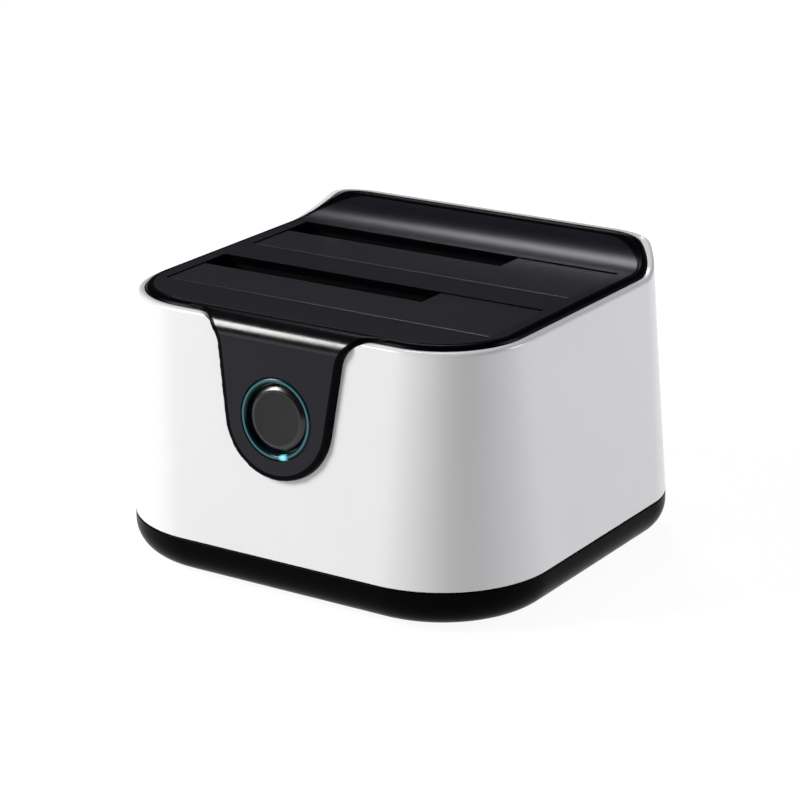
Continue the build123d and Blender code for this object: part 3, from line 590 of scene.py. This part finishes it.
# The ring of light, whose hole in the cover follows it
ring_outer = 11.2 * MM
ring_inner = 9.6 * MM
ring_proud = 0.2 * MM
ring_shoulder = 1.2 * MM
ring_gap = 0.1 * MM
ring_flange_radius = 12.1 * MM
ring_flange = 1.0 * MM
ring_skirt_radius = 11.1 * MM
ring_length = 8.1 * MM
ring_recess_depth = 8.0 * MM

# Where the cover's finishes change; a near-black dull finish there paints shade and dark reflections
band_reach = 1.6 * MM
bend_share = 0.5
dark_crest_reach = 2.2 * MM
wall_slope = 0.3
cover_band = cover_inset + edge_round + groove_width + fine_edge / 2
cover_finishes = ("black_satin_plastic", "cover_edge_painted_dark", "bend_gloss")
SATIN, PAINTED_DARK, BEND_GLOSS = range(len(cover_finishes))


def cut_where(piece, measure):
    """Cuts a mesh's faces along the line where a measure of its points passes zero."""
    work = bmesh.new()
    work.from_mesh(piece.data)
    points = list(work.verts)
    values = dict(zip(points, measure(np.array([point.co for point in points]))))
    added = set()
    for edge in list(work.edges):
        first, second = edge.verts
        if values[first] * values[second] < 0:
            share = values[first] / (values[first] - values[second])
            added.add(bmesh.utils.edge_split(edge, first, share)[1])
    for face in list(work.faces):
        ends = [point for point in face.verts if point in added]
        if len(ends) == 2:
            bmesh.utils.face_split(face, *ends)
    work.to_mesh(piece.data)
    work.free()


def depth_inside(places):
    """How far each place lies from the tongue's outline, seen from the front."""
    starts = np.array(tongue_points(0))
    along = np.roll(starts, -1, axis=0) - starts
    offsets = places[:, None, [0, 2]] - starts
    shares = (offsets * along).sum(axis=2) / (along**2).sum(axis=1)
    gaps = offsets - np.clip(shares, 0, 1)[..., None] * along
    return np.linalg.norm(gaps, axis=2).min(axis=1)


def rim_depth(places):
    """How far each place lies inside the case's outline at its own height, on the rear half."""
    rise = places[:, 2] - seam_height
    up_share = rise / (plate_height - seam_height)
    radius = rear_radii[0] + (rear_radii[1] - rear_radii[0]) * up_share
    over_x = np.abs(places[:, 0]) - (seam_half_width - lean_share * rise - radius)
    over_y = places[:, 1] - (seam_half_depth - lean_share * rise - radius)
    return radius - np.hypot(np.maximum(over_x, 0), np.maximum(over_y, 0))


def make_cover():
    """The lid with its bays cut, joined to the tongue, holed for the ring and painted."""
    lid = new_object("cover_lid", fill_lid)
    for name, bay in bays.items():
        hole = rounded_box((0, bay + bay_depth / 2), 2 * bay_half_width, bay_depth, bay_corner)
        combine(lid, prism(name, hole, plate_under - overrun, far, "Z"), "DIFFERENCE")
    fine_round(lid, fine_edge, fine_angle)
    apply_modifiers(lid)
    combine(lid, tongue_solid(), "UNION")
    hole_radius = ring_outer + ring_gap
    recess = ring_flange_radius + ring_gap
    profile = [
        (0, overrun),
        (hole_radius, overrun),
        (hole_radius, -ring_shoulder),
        (recess, -ring_shoulder),
        (recess, -ring_recess_depth),
        (0, -ring_recess_depth),
    ]
    combine(lid, lathe("ring_hole", profile, closed=False), "DIFFERENCE")
    for finish in cover_finishes:
        lid.data.materials.append(finishes[finish])
    paint_cover(lid)
    settle(lid, fine_angle)
    keep_piece(lid, "housing", "black_satin_plastic", "top_cover")


def on_tongue(places):
    """Whether each place lies on the tongue, up to the back of the groove that it crosses."""
    edge = seam_half_depth - lean_share * (places[:, 2] - seam_height) - cover_band
    return (np.abs(places[:, 0]) < shoulder_half_width) & (places[:, 1] < -edge)


def tongue_only(measure):
    """A measure that can't pass zero off the tongue."""
    return lambda places: np.where(on_tongue(places), measure(places), 1.0)


def off_the_dark_crest(places):
    """How far each place lies inside the ramp's strip of painted shade, which widens up to the crest
    and hides the crest's highlight.
    """
    along = np.clip((places[:, 1] - ramp_foot) / ramp_run, 0, 1)
    inside = rim_depth(places) - cover_band - dark_crest_reach * along**2
    return np.where(places[:, 1] > ramp_foot, inside, 1.0)


def in_edge_band(place):
    """Whether a place is on the cover's outer wall, rounded edge or groove."""
    rise = place.z - seam_height
    side = seam_half_width - lean_share * rise - cover_band
    back = seam_half_depth - lean_share * rise - cover_band
    radius = (front_radii if place.y < 0 else rear_radii)[1] - cover_band
    over_x = abs(place.x) - (side - radius)
    over_y = abs(place.y) - (back - radius)
    if over_x > 0 and over_y > 0:
        return math.hypot(over_x, over_y) > radius
    return max(over_x, over_y) > radius


def paint_cover(lid):
    """A near-black dull finish on the edge band, the outer and bay walls, the crest, and the tongue's
    rounded sides and bend top: painted shade on the walls and crest, painted dark reflection on the
    band, sides and bend top. Gloss on the lower bend, satin elsewhere.
    """
    bend_low = plate_height - tongue_bend
    bend_back = front_wall(plate_height) - tongue_proud + bend_share * tongue_bend
    measures = (
        lambda places: depth_inside(places) - band_reach,
        lambda places: places[:, 2] - bend_low,
        lambda places: places[:, 1] - bend_back,
    )
    for measure in measures:
        cut_where(lid, tongue_only(measure))
    cut_where(lid, off_the_dark_crest)
    middles = np.array([face.center for face in lid.data.polygons])
    on_dark_crest = off_the_dark_crest(middles) < 0
    ahead = on_tongue(middles)
    inside, above, dark_bend_top = (measure(middles) > 0 for measure in measures)
    facing = np.array([face.normal.dot(out_of_face) for face in lid.data.polygons]) > 0
    for index, face in enumerate(lid.data.polygons):
        if not ahead[index]:
            # Painted shade: the outer and bay walls and the crest get the near-black dull finish; on
            # the edge band it is a painted dark reflection
            shaded_wall = abs(face.normal.z) < wall_slope and face.center.y < ramp_foot
            dark_painted = in_edge_band(face.center) or on_dark_crest[index] or shaded_wall
            face.material_index = PAINTED_DARK if dark_painted else SATIN
        # On the tongue, its rounded sides and the top of its bend get the near-black dull finish, a
        # painted dark reflection that gives the black line above the bend's highlight
        elif not inside[index] or dark_bend_top[index] or not facing[index]:
            face.material_index = PAINTED_DARK
        else:
            face.material_index = BEND_GLOSS if above[index] else SATIN


# Black base with its rounded underside, vents, foot pockets and screw wells
base_bottom = tray_low.z
base_round = 8.5 * MM
base_edge = 0.2 * MM
base_wall = 2.2 * MM
base_floor = 2.0 * MM
floor_top = base_bottom + base_floor
tower_height = 7.0 * MM
tower_radius = 4.6 * MM
head_well_radius = 2.84 * MM
head_well_depth = 2.6 * MM
foot_pocket_radius = 6.15 * MM
foot_pocket_depth = 0.6 * MM
foot_x, foot_y = 40.0 * MM, 38.0 * MM
case_screw_x, case_screw_y = 48.0 * MM, 26.0 * MM
vent_length, vent_width, vent_pitch = 34.0 * MM, 2.0 * MM, 5.0 * MM
VENT_COUNT = 6
VENT_END_STEPS = 12
BASE_STEPS = 16


def seam_rows(inset, height):
    """The seam's outline, drawn in by an inset, at another height."""
    width, place = row_places(np.full(len(ROWS), seam_height), inset)
    return grid_rows(width, place, np.full(len(ROWS), height))


def fill_base(work):
    """A tray: its floor, inner wall, seam, outer wall and rounded underside."""
    inner_rows = seam_rows(base_wall + base_round / 2, floor_top)
    outer_rows = seam_rows(base_round, base_bottom)
    rings = [
        ring_of(inner_rows),
        ring_of(seam_rows(base_wall, floor_top + base_round / 2)),
        ring_of(seam_rows(base_wall, seam_height)),
        ring_of(seam_rows(seam_round, seam_height)),
        ring_of(seam_rows(seam_round / 4, seam_height - seam_round / 2)),
        ring_of(seam_rows(0, seam_height - seam_round)),
    ]
    for step in range(BASE_STEPS + 1):
        angle = math.pi / 2 * step / BASE_STEPS
        inset = base_round * (1 - math.cos(angle))
        height = base_bottom + base_round * (1 - math.sin(angle))
        rings.append(ring_of(seam_rows(inset, height)))
    made = join_rings(work, rings, closed=False)
    cap_grid(work, inner_rows, made[0])
    cap_grid(work, outer_rows, made[-1])


def vent_outline(y):
    """A slot with round ends, across the base at a place along Y."""
    half = vent_length / 2 - vent_width / 2
    right = arc((half, y), vent_width / 2, -math.pi / 2, math.pi / 2, VENT_END_STEPS)
    left = arc((-half, y), vent_width / 2, math.pi / 2, 3 * math.pi / 2, VENT_END_STEPS)
    return right + left


def corner_places(x, y):
    """The four places at a distance either way from the middle."""
    return [(side * x, end * y) for side in (-1, 1) for end in (-1, 1)]


def cut_base(base, name, points, high):
    """Cuts an outline out of the base's underside, up to a level."""
    combine(base, prism(name, points, -overrun, high, "Z"), "DIFFERENCE")


def make_base():
    """The black base, with its screw towers, head wells, foot pockets and vents."""
    base = new_object("black_base", fill_base)
    screws = corner_places(case_screw_x, case_screw_y)
    for screw in screws:
        outline = circle(screw, tower_radius)
        tower = prism("tower", outline, floor_top - overrun, floor_top + tower_height, "Z")
        combine(base, tower, "UNION")
    for screw, foot in zip(screws, corner_places(foot_x, foot_y)):
        cut_base(base, "well", circle(screw, head_well_radius), base_bottom + head_well_depth)
        cut_base(base, "pocket", circle(foot, foot_pocket_radius), base_bottom + foot_pocket_depth)
    for k in range(VENT_COUNT):
        vent = vent_outline((k - (VENT_COUNT - 1) / 2) * vent_pitch)
        cut_base(base, "vent", vent, floor_top + overrun)
    settle(base, case_angle, base_edge)
    base.data.materials.append(finishes["black_gloss_plastic"])
    keep_piece(base, "housing", "black_gloss_plastic", "base_tray")


# Ring of light and the button inside it
button_radius = 9.1 * MM
button_face_radius = 7.4 * MM
button_bevel_depth = 1.0 * MM
button_recess = 0.4 * MM
button_wall = 1.4 * MM
button_flange_radius = 10.6 * MM
flange_front = 2.5 * MM
flange_back = 3.4 * MM
stem_radius = 2.0 * MM
plunger_front = 4.2 * MM
button_edge = 0.35 * MM
button_dish = 0.12 * MM
slope_power = 1.6
BEAD_STEPS = 16
DISH_STEPS = 12
SLOPE_STEPS = 10


def make_ring():
    """The ring of light: a round bead in front, and a flange and skirt behind."""
    middle = (ring_outer + ring_inner) / 2
    half = (ring_outer - ring_inner) / 2
    bead = arc((middle, ring_proud - half), half, 0, math.pi, BEAD_STEPS)
    back = -(ring_shoulder + ring_flange)
    profile = bead + [
        (ring_inner, back),
        (ring_skirt_radius, back),
        (ring_skirt_radius, -ring_length),
        (ring_flange_radius, -ring_length),
        (ring_flange_radius, -ring_shoulder),
        (ring_outer, -ring_shoulder),
    ]
    ring = lathe("light_ring_bead", profile, closed=True)
    settle(ring, turned_angle)
    ring.data.materials.append(finishes["teal_light_plastic"])
    keep_piece(ring, "housing", "teal_light_plastic", "light_ring")


def make_button():
    """The button: a dished face, a glossy slope round it, a flange and a stem."""
    face = [
        (button_face_radius * share, -button_recess - button_dish * (1 - share**2))
        for share in (k / DISH_STEPS for k in range(DISH_STEPS + 1))
    ]
    face[-1] = (button_face_radius - button_edge / 2, -button_recess)
    slope = [
        (
            button_face_radius + (button_radius - button_face_radius) * share,
            -button_recess - button_bevel_depth * share**slope_power,
        )
        for share in (k / SLOPE_STEPS for k in range(1, SLOPE_STEPS + 1))
    ]
    profile = face + slope + [
        (button_radius, -flange_front),
        (button_flange_radius, -flange_front),
        (button_flange_radius, -flange_back),
        (button_face_radius, -flange_back),
        (button_face_radius, -button_recess - button_wall),
        (stem_radius, -button_recess - button_wall),
        (stem_radius, -plunger_front),
        (0, -plunger_front),
    ]
    button = lathe("button_cap", profile, closed=False)
    button.data.materials.append(finishes["button_plastic"])
    button.data.materials.append(finishes["button_bevel_gloss"])
    for polygon in button.data.polygons:
        local = button_frame.inverted() @ polygon.center
        if math.hypot(local.x, local.y) > button_face_radius - button_edge:
            polygon.material_index = 1
    settle(button, turned_angle)
    keep_piece(button, "power_button", "button_plastic", "power_button")


# Torsion springs: the coil stays with the housing and its short leg goes with the flap
spring_radius = 1.45 * MM
spring_wire = 0.5 * MM
spring_pitch = 0.85 * MM
spring_turns = 3.25
flap_leg = 5.5 * MM
frame_leg = 4.0 * MM
hinge_forward = 3.5 * MM
hinge_drop = 4.4 * MM
hinge_height = plate_height - hinge_drop
WIRE_SIDES = 14
TURN_STEPS = 40
FRAME_LEG_STEPS = 6
FLAP_LEG_STEPS = 8


def wire_tube(name, points):
    """A round wire along a path of points."""

    def fill(work):
        rings = []
        side = Vector((1, 0, 0))
        for index, point in enumerate(points):
            before = points[max(index - 1, 0)]
            after = points[min(index + 1, len(points) - 1)]
            along = (after - before).normalized()
            across = (side - along * side.dot(along)).normalized()
            over = along.cross(across)
            turns = [2 * math.pi * k / WIRE_SIDES for k in range(WIRE_SIDES)]
            offsets = [across * math.cos(t) + over * math.sin(t) for t in turns]
            rings.append([tuple(point + o * spring_wire / 2) for o in offsets])
        made = join_rings(work, rings, closed=False)
        for end in (made[0], made[-1]):
            work.faces.new(end)

    piece = new_object(name, fill)
    settle(piece, turned_angle)
    piece.data.materials.append(finishes["pin_steel"])
    return piece


def make_spring(name, bay):
    """A coil along X with its frame leg, and a flap leg that turns with the flap."""
    pin = Vector((0, bay - hinge_forward, hinge_height))
    coil = []
    for k in range(int(spring_turns * TURN_STEPS) + 1):
        turn = 2 * math.pi * k / TURN_STEPS
        offset = Vector((
            spring_pitch * k / TURN_STEPS,
            -spring_radius * math.sin(turn),
            spring_radius * math.cos(turn),
        ))
        coil.append(pin + offset)
    tangent = (coil[-1] - coil[-2]).normalized()
    frame_steps = range(1, FRAME_LEG_STEPS + 1)
    tail_leg = [coil[-1] + tangent * frame_leg * k / FRAME_LEG_STEPS for k in frame_steps]
    start = (coil[1] - coil[0]).normalized()
    leg = [coil[0] - start * flap_leg * k / FLAP_LEG_STEPS for k in range(FLAP_LEG_STEPS + 1)]
    housing_part = wire_tube(f"{name}_spring_coil", coil + tail_leg)
    keep_piece(housing_part, "housing", "pin_steel", f"{name}_flap_spring")
    flap_part = wire_tube(f"{name}_spring_leg", leg)
    keep_piece(flap_part, f"{name}_flap", "pin_steel")


# Finishes: each noise's scale and detail, the part of its range that counts, and shared limits
drift_scale, drift_detail = 60.0, 3.0
drift_low, drift_high = 0.35, 0.65
gloss_scale, gloss_detail = 260.0, 4.0
gloss_low, gloss_high = 0.3, 0.7
grain_detail = 5.0
least_roughness = 0.02
refraction = 1.5


def surface(
    name, colour, roughness, metal=0.0, coat=0.0, coat_roughness=0.05, specular=0.5,
    grain=2500.0, depth=0.02 * MM, strength=0.25, drift=0.08, spread=0.05,
):
    """A finish with drift in its colour, uneven gloss and a fine grain, all from noise in place."""
    material = bpy.data.materials.new(name)
    material.use_nodes = True
    tree = material.node_tree
    shader = tree.nodes["Principled BSDF"]
    place = tree.nodes.new("ShaderNodeTexCoord").outputs["Object"]

    def noise(scale, detail):
        node = tree.nodes.new("ShaderNodeTexNoise")
        node.inputs["Scale"].default_value = scale
        node.inputs["Detail"].default_value = detail
        tree.links.new(place, node.inputs["Vector"])
        return node.outputs["Fac"]

    def spread_over(value, low, high):
        node = tree.nodes.new("ShaderNodeMapRange")
        node.inputs["From Min"].default_value = gloss_low
        node.inputs["From Max"].default_value = gloss_high
        node.inputs["To Min"].default_value = low
        node.inputs["To Max"].default_value = high
        tree.links.new(value, node.inputs["Value"])
        return node.outputs["Result"]

    ramp = tree.nodes.new("ShaderNodeValToRGB")
    for element, factor in zip(ramp.color_ramp.elements, (1 - drift, 1 + drift)):
        element.color = (*[min(channel * factor, 1) for channel in colour], 1)
    ramp.color_ramp.elements[0].position = drift_low
    ramp.color_ramp.elements[1].position = drift_high
    tree.links.new(noise(drift_scale, drift_detail), ramp.inputs["Fac"])
    tree.links.new(ramp.outputs["Color"], shader.inputs["Base Color"])
    low = max(roughness - spread, least_roughness)
    gloss = spread_over(noise(gloss_scale, gloss_detail), low, roughness + spread)
    tree.links.new(gloss, shader.inputs["Roughness"])
    bump = tree.nodes.new("ShaderNodeBump")
    bump.inputs["Strength"].default_value = strength
    bump.inputs["Distance"].default_value = depth
    tree.links.new(noise(grain, grain_detail), bump.inputs["Height"])
    tree.links.new(bump.outputs["Normal"], shader.inputs["Normal"])
    shader.inputs["Metallic"].default_value = metal
    shader.inputs["Coat Weight"].default_value = coat
    shader.inputs["Coat Roughness"].default_value = coat_roughness
    shader.inputs["IOR"].default_value = refraction
    shader.inputs["Specular IOR Level"].default_value = specular
    return material


# How the ring's glow fades from the line on its crown, and how a painted glint, a spot of emission
# that stands in for a reflection, fades near its foot
glow_and_glint_colour = (0.16, 0.66, 0.74, 1)
crown_reach = 0.42 * MM
crown_strength = 0.26
glint_turn = math.radians(15)
glint_core = 0.3 * MM
glint_reach = 1.8 * MM
glint_strength = 1.3


def ring_glow_and_glint():
    """Dark teal plastic lit from behind as a faint line round its crown, with a painted glint: a spot
    of emission near its foot that stands in for a reflection.
    """
    material = surface("teal_light", (0.0015, 0.011, 0.015), 0.2, specular=0.2)
    tree = material.node_tree
    shader = tree.nodes["Principled BSDF"]
    place = tree.nodes.new("ShaderNodeTexCoord").outputs["Object"]

    def vector_step(operation, value, constant=None):
        node = tree.nodes.new("ShaderNodeVectorMath")
        node.operation = operation
        tree.links.new(value, node.inputs[0])
        if constant is not None:
            node.inputs[1].default_value = constant
        return node.outputs["Value" if operation in ("LENGTH", "DISTANCE") else "Vector"]

    def number_step(operation, first, second):
        node = tree.nodes.new("ShaderNodeMath")
        node.operation = operation
        for socket, value in zip(node.inputs, (first, second)):
            if isinstance(value, float):
                socket.default_value = value
            else:
                tree.links.new(value, socket)
        return node.outputs["Value"]

    def fade(value, near, reach, strength):
        node = tree.nodes.new("ShaderNodeMapRange")
        node.interpolation_type = "SMOOTHSTEP"
        node.inputs["From Min"].default_value = near
        node.inputs["From Max"].default_value = reach
        node.inputs["To Min"].default_value = strength
        node.inputs["To Max"].default_value = 0.0
        tree.links.new(value, node.inputs["Value"])
        return node.outputs["Result"]

    middle = (ring_outer + ring_inner) / 2
    from_centre = vector_step("SUBTRACT", place, tuple(button_centre))
    radius = vector_step("LENGTH", vector_step("CROSS_PRODUCT", from_centre, tuple(out_of_face)))
    off_crown = number_step("ABSOLUTE", number_step("SUBTRACT", radius, middle), 0.0)
    crown = fade(off_crown, 0.0, crown_reach, crown_strength)
    # Painted glint: a spot of emission turned a little off the ring's foot, painted where a
    # reflection of the room would fall
    to_glint = Vector((math.sin(glint_turn), 0, 0)) - up_the_face * math.cos(glint_turn)
    glint_place = button_centre + to_glint * middle
    off_glint = vector_step("DISTANCE", place, tuple(glint_place))
    glint = fade(off_glint, glint_core, glint_reach, glint_strength)
    glow_and_glint = number_step("ADD", crown, glint)
    shader.inputs["Emission Color"].default_value = glow_and_glint_colour
    tree.links.new(glow_and_glint, shader.inputs["Emission Strength"])
    return material


finishes = {
    "white_gloss_plastic": surface(
        "white_gloss", (0.64, 0.64, 0.652), 0.24, coat=0.2, coat_roughness=0.15, drift=0.006,
        spread=0.008, grain=900.0, depth=0.004 * MM, strength=0.1,
    ),
    "black_satin_plastic": surface(
        "black_satin", (0.0056, 0.0048, 0.0086), 0.3, grain=5200.0, depth=0.01 * MM,
        strength=0.12, spread=0.008, specular=0.19,
    ),
    # Near-black and barely reflective: painted shade on the cover's walls and crest, and a painted
    # dark reflection on its edge band, the tongue's sides and the top of its bend
    "cover_edge_painted_dark": surface(
        "cover_edge", (0.0008, 0.0008, 0.0014), 0.3, spread=0.03, grain=1500.0, strength=0.08,
        specular=0.03,
    ),
    "bend_gloss": surface(
        "bend_gloss", (0.002, 0.002, 0.003), 0.2, spread=0.03, grain=1500.0, strength=0.08,
        specular=0.4,
    ),
    "black_gloss_plastic": surface(
        "base_gloss", (0.001, 0.001, 0.001), 0.28, spread=0.04, grain=1500.0, strength=0.1,
        specular=0.02,
    ),
    "black_inner_plastic": surface("black_inner", (0.0012, 0.0012, 0.0012), 0.6, specular=0.05),
    "flap_plastic": surface(
        "flap_satin", (0.0082, 0.0078, 0.0118), 0.31, grain=5200.0, depth=0.01 * MM,
        strength=0.12, spread=0.008, specular=0.22,
    ),
    "button_plastic": surface(
        "button_satin", (0.010, 0.010, 0.011), 0.42, drift=0.1, grain=5200.0, depth=0.03 * MM,
        specular=0.22,
    ),
    "button_bevel_gloss": surface(
        "button_bevel", (0.003, 0.003, 0.003), 0.25, spread=0.03, strength=0.1, specular=0.6,
    ),
    "teal_light_plastic": ring_glow_and_glint(),
    "foot_rubber": surface("foot_rubber", (0.018, 0.018, 0.018), 0.8, grain=3500.0, depth=0.06 * MM),
    "pin_steel": surface("pin_steel", (0.58, 0.57, 0.56), 0.28, metal=1.0, grain=4000.0),
    "screw_steel": surface("screw_steel", (0.24, 0.24, 0.26), 0.35, metal=1.0, grain=4000.0),
    "board_laminate": surface("board_green", (0.012, 0.10, 0.035), 0.3, coat=0.3, drift=0.2),
    "connector_plastic": surface("connector_black", (0.012, 0.012, 0.012), 0.45),
    "contact_metal": surface("contact_gold", (0.85, 0.6, 0.2), 0.25, metal=1.0),
    "socket_metal": surface("socket_nickel", (0.62, 0.61, 0.6), 0.26, metal=1.0, drift=0.1),
    "socket_plastic": surface("socket_blue", (0.02, 0.08, 0.35), 0.4),
    "chip_plastic": surface("chip_black", (0.012, 0.012, 0.013), 0.5, grain=3500.0),
    "can_aluminium": surface("can_metal", (0.7, 0.7, 0.71), 0.3, metal=1.0),
    "lamp_plastic": surface("lamp_amber", (0.7, 0.66, 0.4), 0.3),
    "header_plastic": surface("header_cream", (0.72, 0.68, 0.55), 0.45),
    "lead_sheath": surface("lead_grey", (0.3, 0.3, 0.32), 0.5, grain=1800.0),
}


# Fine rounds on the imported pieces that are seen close
small_part_edge = 0.15 * MM
flap_edge = 0.3 * MM


def dress_nodes():
    """Gives every node its finish, and a fine round to the ones that are seen close."""
    slots = {part["node"]: part["material_slot"] for part in frame["record"]["subparts"]}
    rounded = dict.fromkeys(("rubber_feet", "usb_socket_shell", "power_inlet"), small_part_edge)
    rounded |= dict.fromkeys(("front_flap", "rear_flap"), flap_edge)
    for name, node in nodes.items():
        node.data.materials.clear()
        node.data.materials.append(finishes[slots[name]])
        if name in rounded:
            fine_round(node, rounded[name], fine_angle)


dress_nodes()
make_shell()
make_cover()
make_base()
make_ring()
make_button()
for spring_name, spring_bay in bays.items():
    make_spring(spring_name, spring_bay)


# Camera at the photograph's viewing angle
camera_place = Vector((0.41261, -0.62120, 0.29407))
camera_lens = 127.47
camera_sensor = 36.0
camera_clip = 10 * MM
camera_turn = math.radians(33.50)
camera_dip = math.radians(18.77)
camera_roll = math.radians(-0.58)


def make_camera():
    """The scene's camera, turned, dipped and rolled as the photograph's was."""
    back = Vector((
        math.sin(camera_turn) * math.cos(camera_dip),
        -math.cos(camera_turn) * math.cos(camera_dip),
        math.sin(camera_dip),
    ))
    right = (-back).cross(Vector((0, 0, 1))).normalized()
    up = right.cross(-back)
    level_right = math.cos(camera_roll) * right + math.sin(camera_roll) * up
    level_up = -math.sin(camera_roll) * right + math.cos(camera_roll) * up
    data = bpy.data.cameras.new("camera")
    data.lens = camera_lens
    data.sensor_width = camera_sensor
    data.clip_start = camera_clip
    camera = bpy.data.objects.new("camera", data)
    turned = Matrix((tuple(level_right), tuple(level_up), tuple(back))).transposed().to_4x4()
    camera.matrix_world = Matrix.Translation(camera_place) @ turned
    bpy.context.scene.collection.objects.link(camera)
    bpy.context.scene.camera = camera


# Studio: a pale floor, a dim room and soft lights
light_aim = Vector((0, 0, 40 * MM))
white = (1, 1, 1, 1)
floor_radius = 3.0
floor_grey = 0.1
floor_glow = 0.93
FLOOR_SIDES = 128
room_colour = (0.95, 0.96, 1.0, 1)
room_strength = 0.035


def softbox(name, azimuth, elevation, distance, width, height, power, colour):
    """An area light that looks at the object. Azimuth 0 is in front and 90 to the right."""
    turn, dip = math.radians(azimuth), math.radians(elevation)
    towards = Vector((
        math.sin(turn) * math.cos(dip), -math.cos(turn) * math.cos(dip), math.sin(dip),
    ))
    data = bpy.data.lights.new(name, "AREA")
    data.shape = "RECTANGLE"
    data.size, data.size_y = width, height
    data.energy = power
    data.color = colour
    light = bpy.data.objects.new(name, data)
    light.location = towards * distance + light_aim
    light.rotation_mode = "QUATERNION"
    light.rotation_quaternion = towards.to_track_quat("Z", "Y")
    bpy.context.scene.collection.objects.link(light)


def make_floor():
    """A pale round floor with a glow of its own, so that it stays even."""

    def fill(work):
        bmesh.ops.create_circle(work, cap_ends=True, segments=FLOOR_SIDES, radius=floor_radius)

    floor = new_object("floor", fill)
    material = surface("floor_pale", (floor_grey,) * 3, 0.8, drift=0.004, strength=0.0)
    shader = material.node_tree.nodes["Principled BSDF"]
    shader.inputs["Emission Color"].default_value = white
    shader.inputs["Emission Strength"].default_value = floor_glow
    floor.data.materials.append(material)


def make_world():
    """A dim room, with a white backdrop where nothing stands behind the object."""
    world = bpy.data.worlds.new("studio")
    bpy.context.scene.world = world
    world.use_nodes = True
    tree = world.node_tree
    dim = tree.nodes["Background"]
    dim.inputs["Color"].default_value = room_colour
    dim.inputs["Strength"].default_value = room_strength
    backdrop = tree.nodes.new("ShaderNodeBackground")
    backdrop.inputs["Color"].default_value = white
    either = tree.nodes.new("ShaderNodeMixShader")
    seen = tree.nodes.new("ShaderNodeLightPath").outputs["Is Camera Ray"]
    tree.links.new(seen, either.inputs["Fac"])
    tree.links.new(dim.outputs["Background"], either.inputs[1])
    tree.links.new(backdrop.outputs["Background"], either.inputs[2])
    tree.links.new(either.outputs["Shader"], tree.nodes["World Output"].inputs["Surface"])


make_camera()
make_floor()
make_world()
softbox(
    "key", azimuth=-47, elevation=30, distance=1.5, width=0.5, height=0.62, power=29,
    colour=(1.0, 0.985, 0.96),
)
softbox(
    "high_back", azimuth=-140, elevation=50, distance=1.3, width=0.35, height=0.22, power=4,
    colour=(0.96, 0.96, 1.0),
)
softbox(
    "back_right", azimuth=128, elevation=24, distance=1.5, width=0.6, height=0.8, power=11.5,
    colour=(0.96, 0.965, 1.0),
)
bpy.context.scene.view_settings.view_transform = "Standard"
bpy.context.scene.view_settings.look = "None"
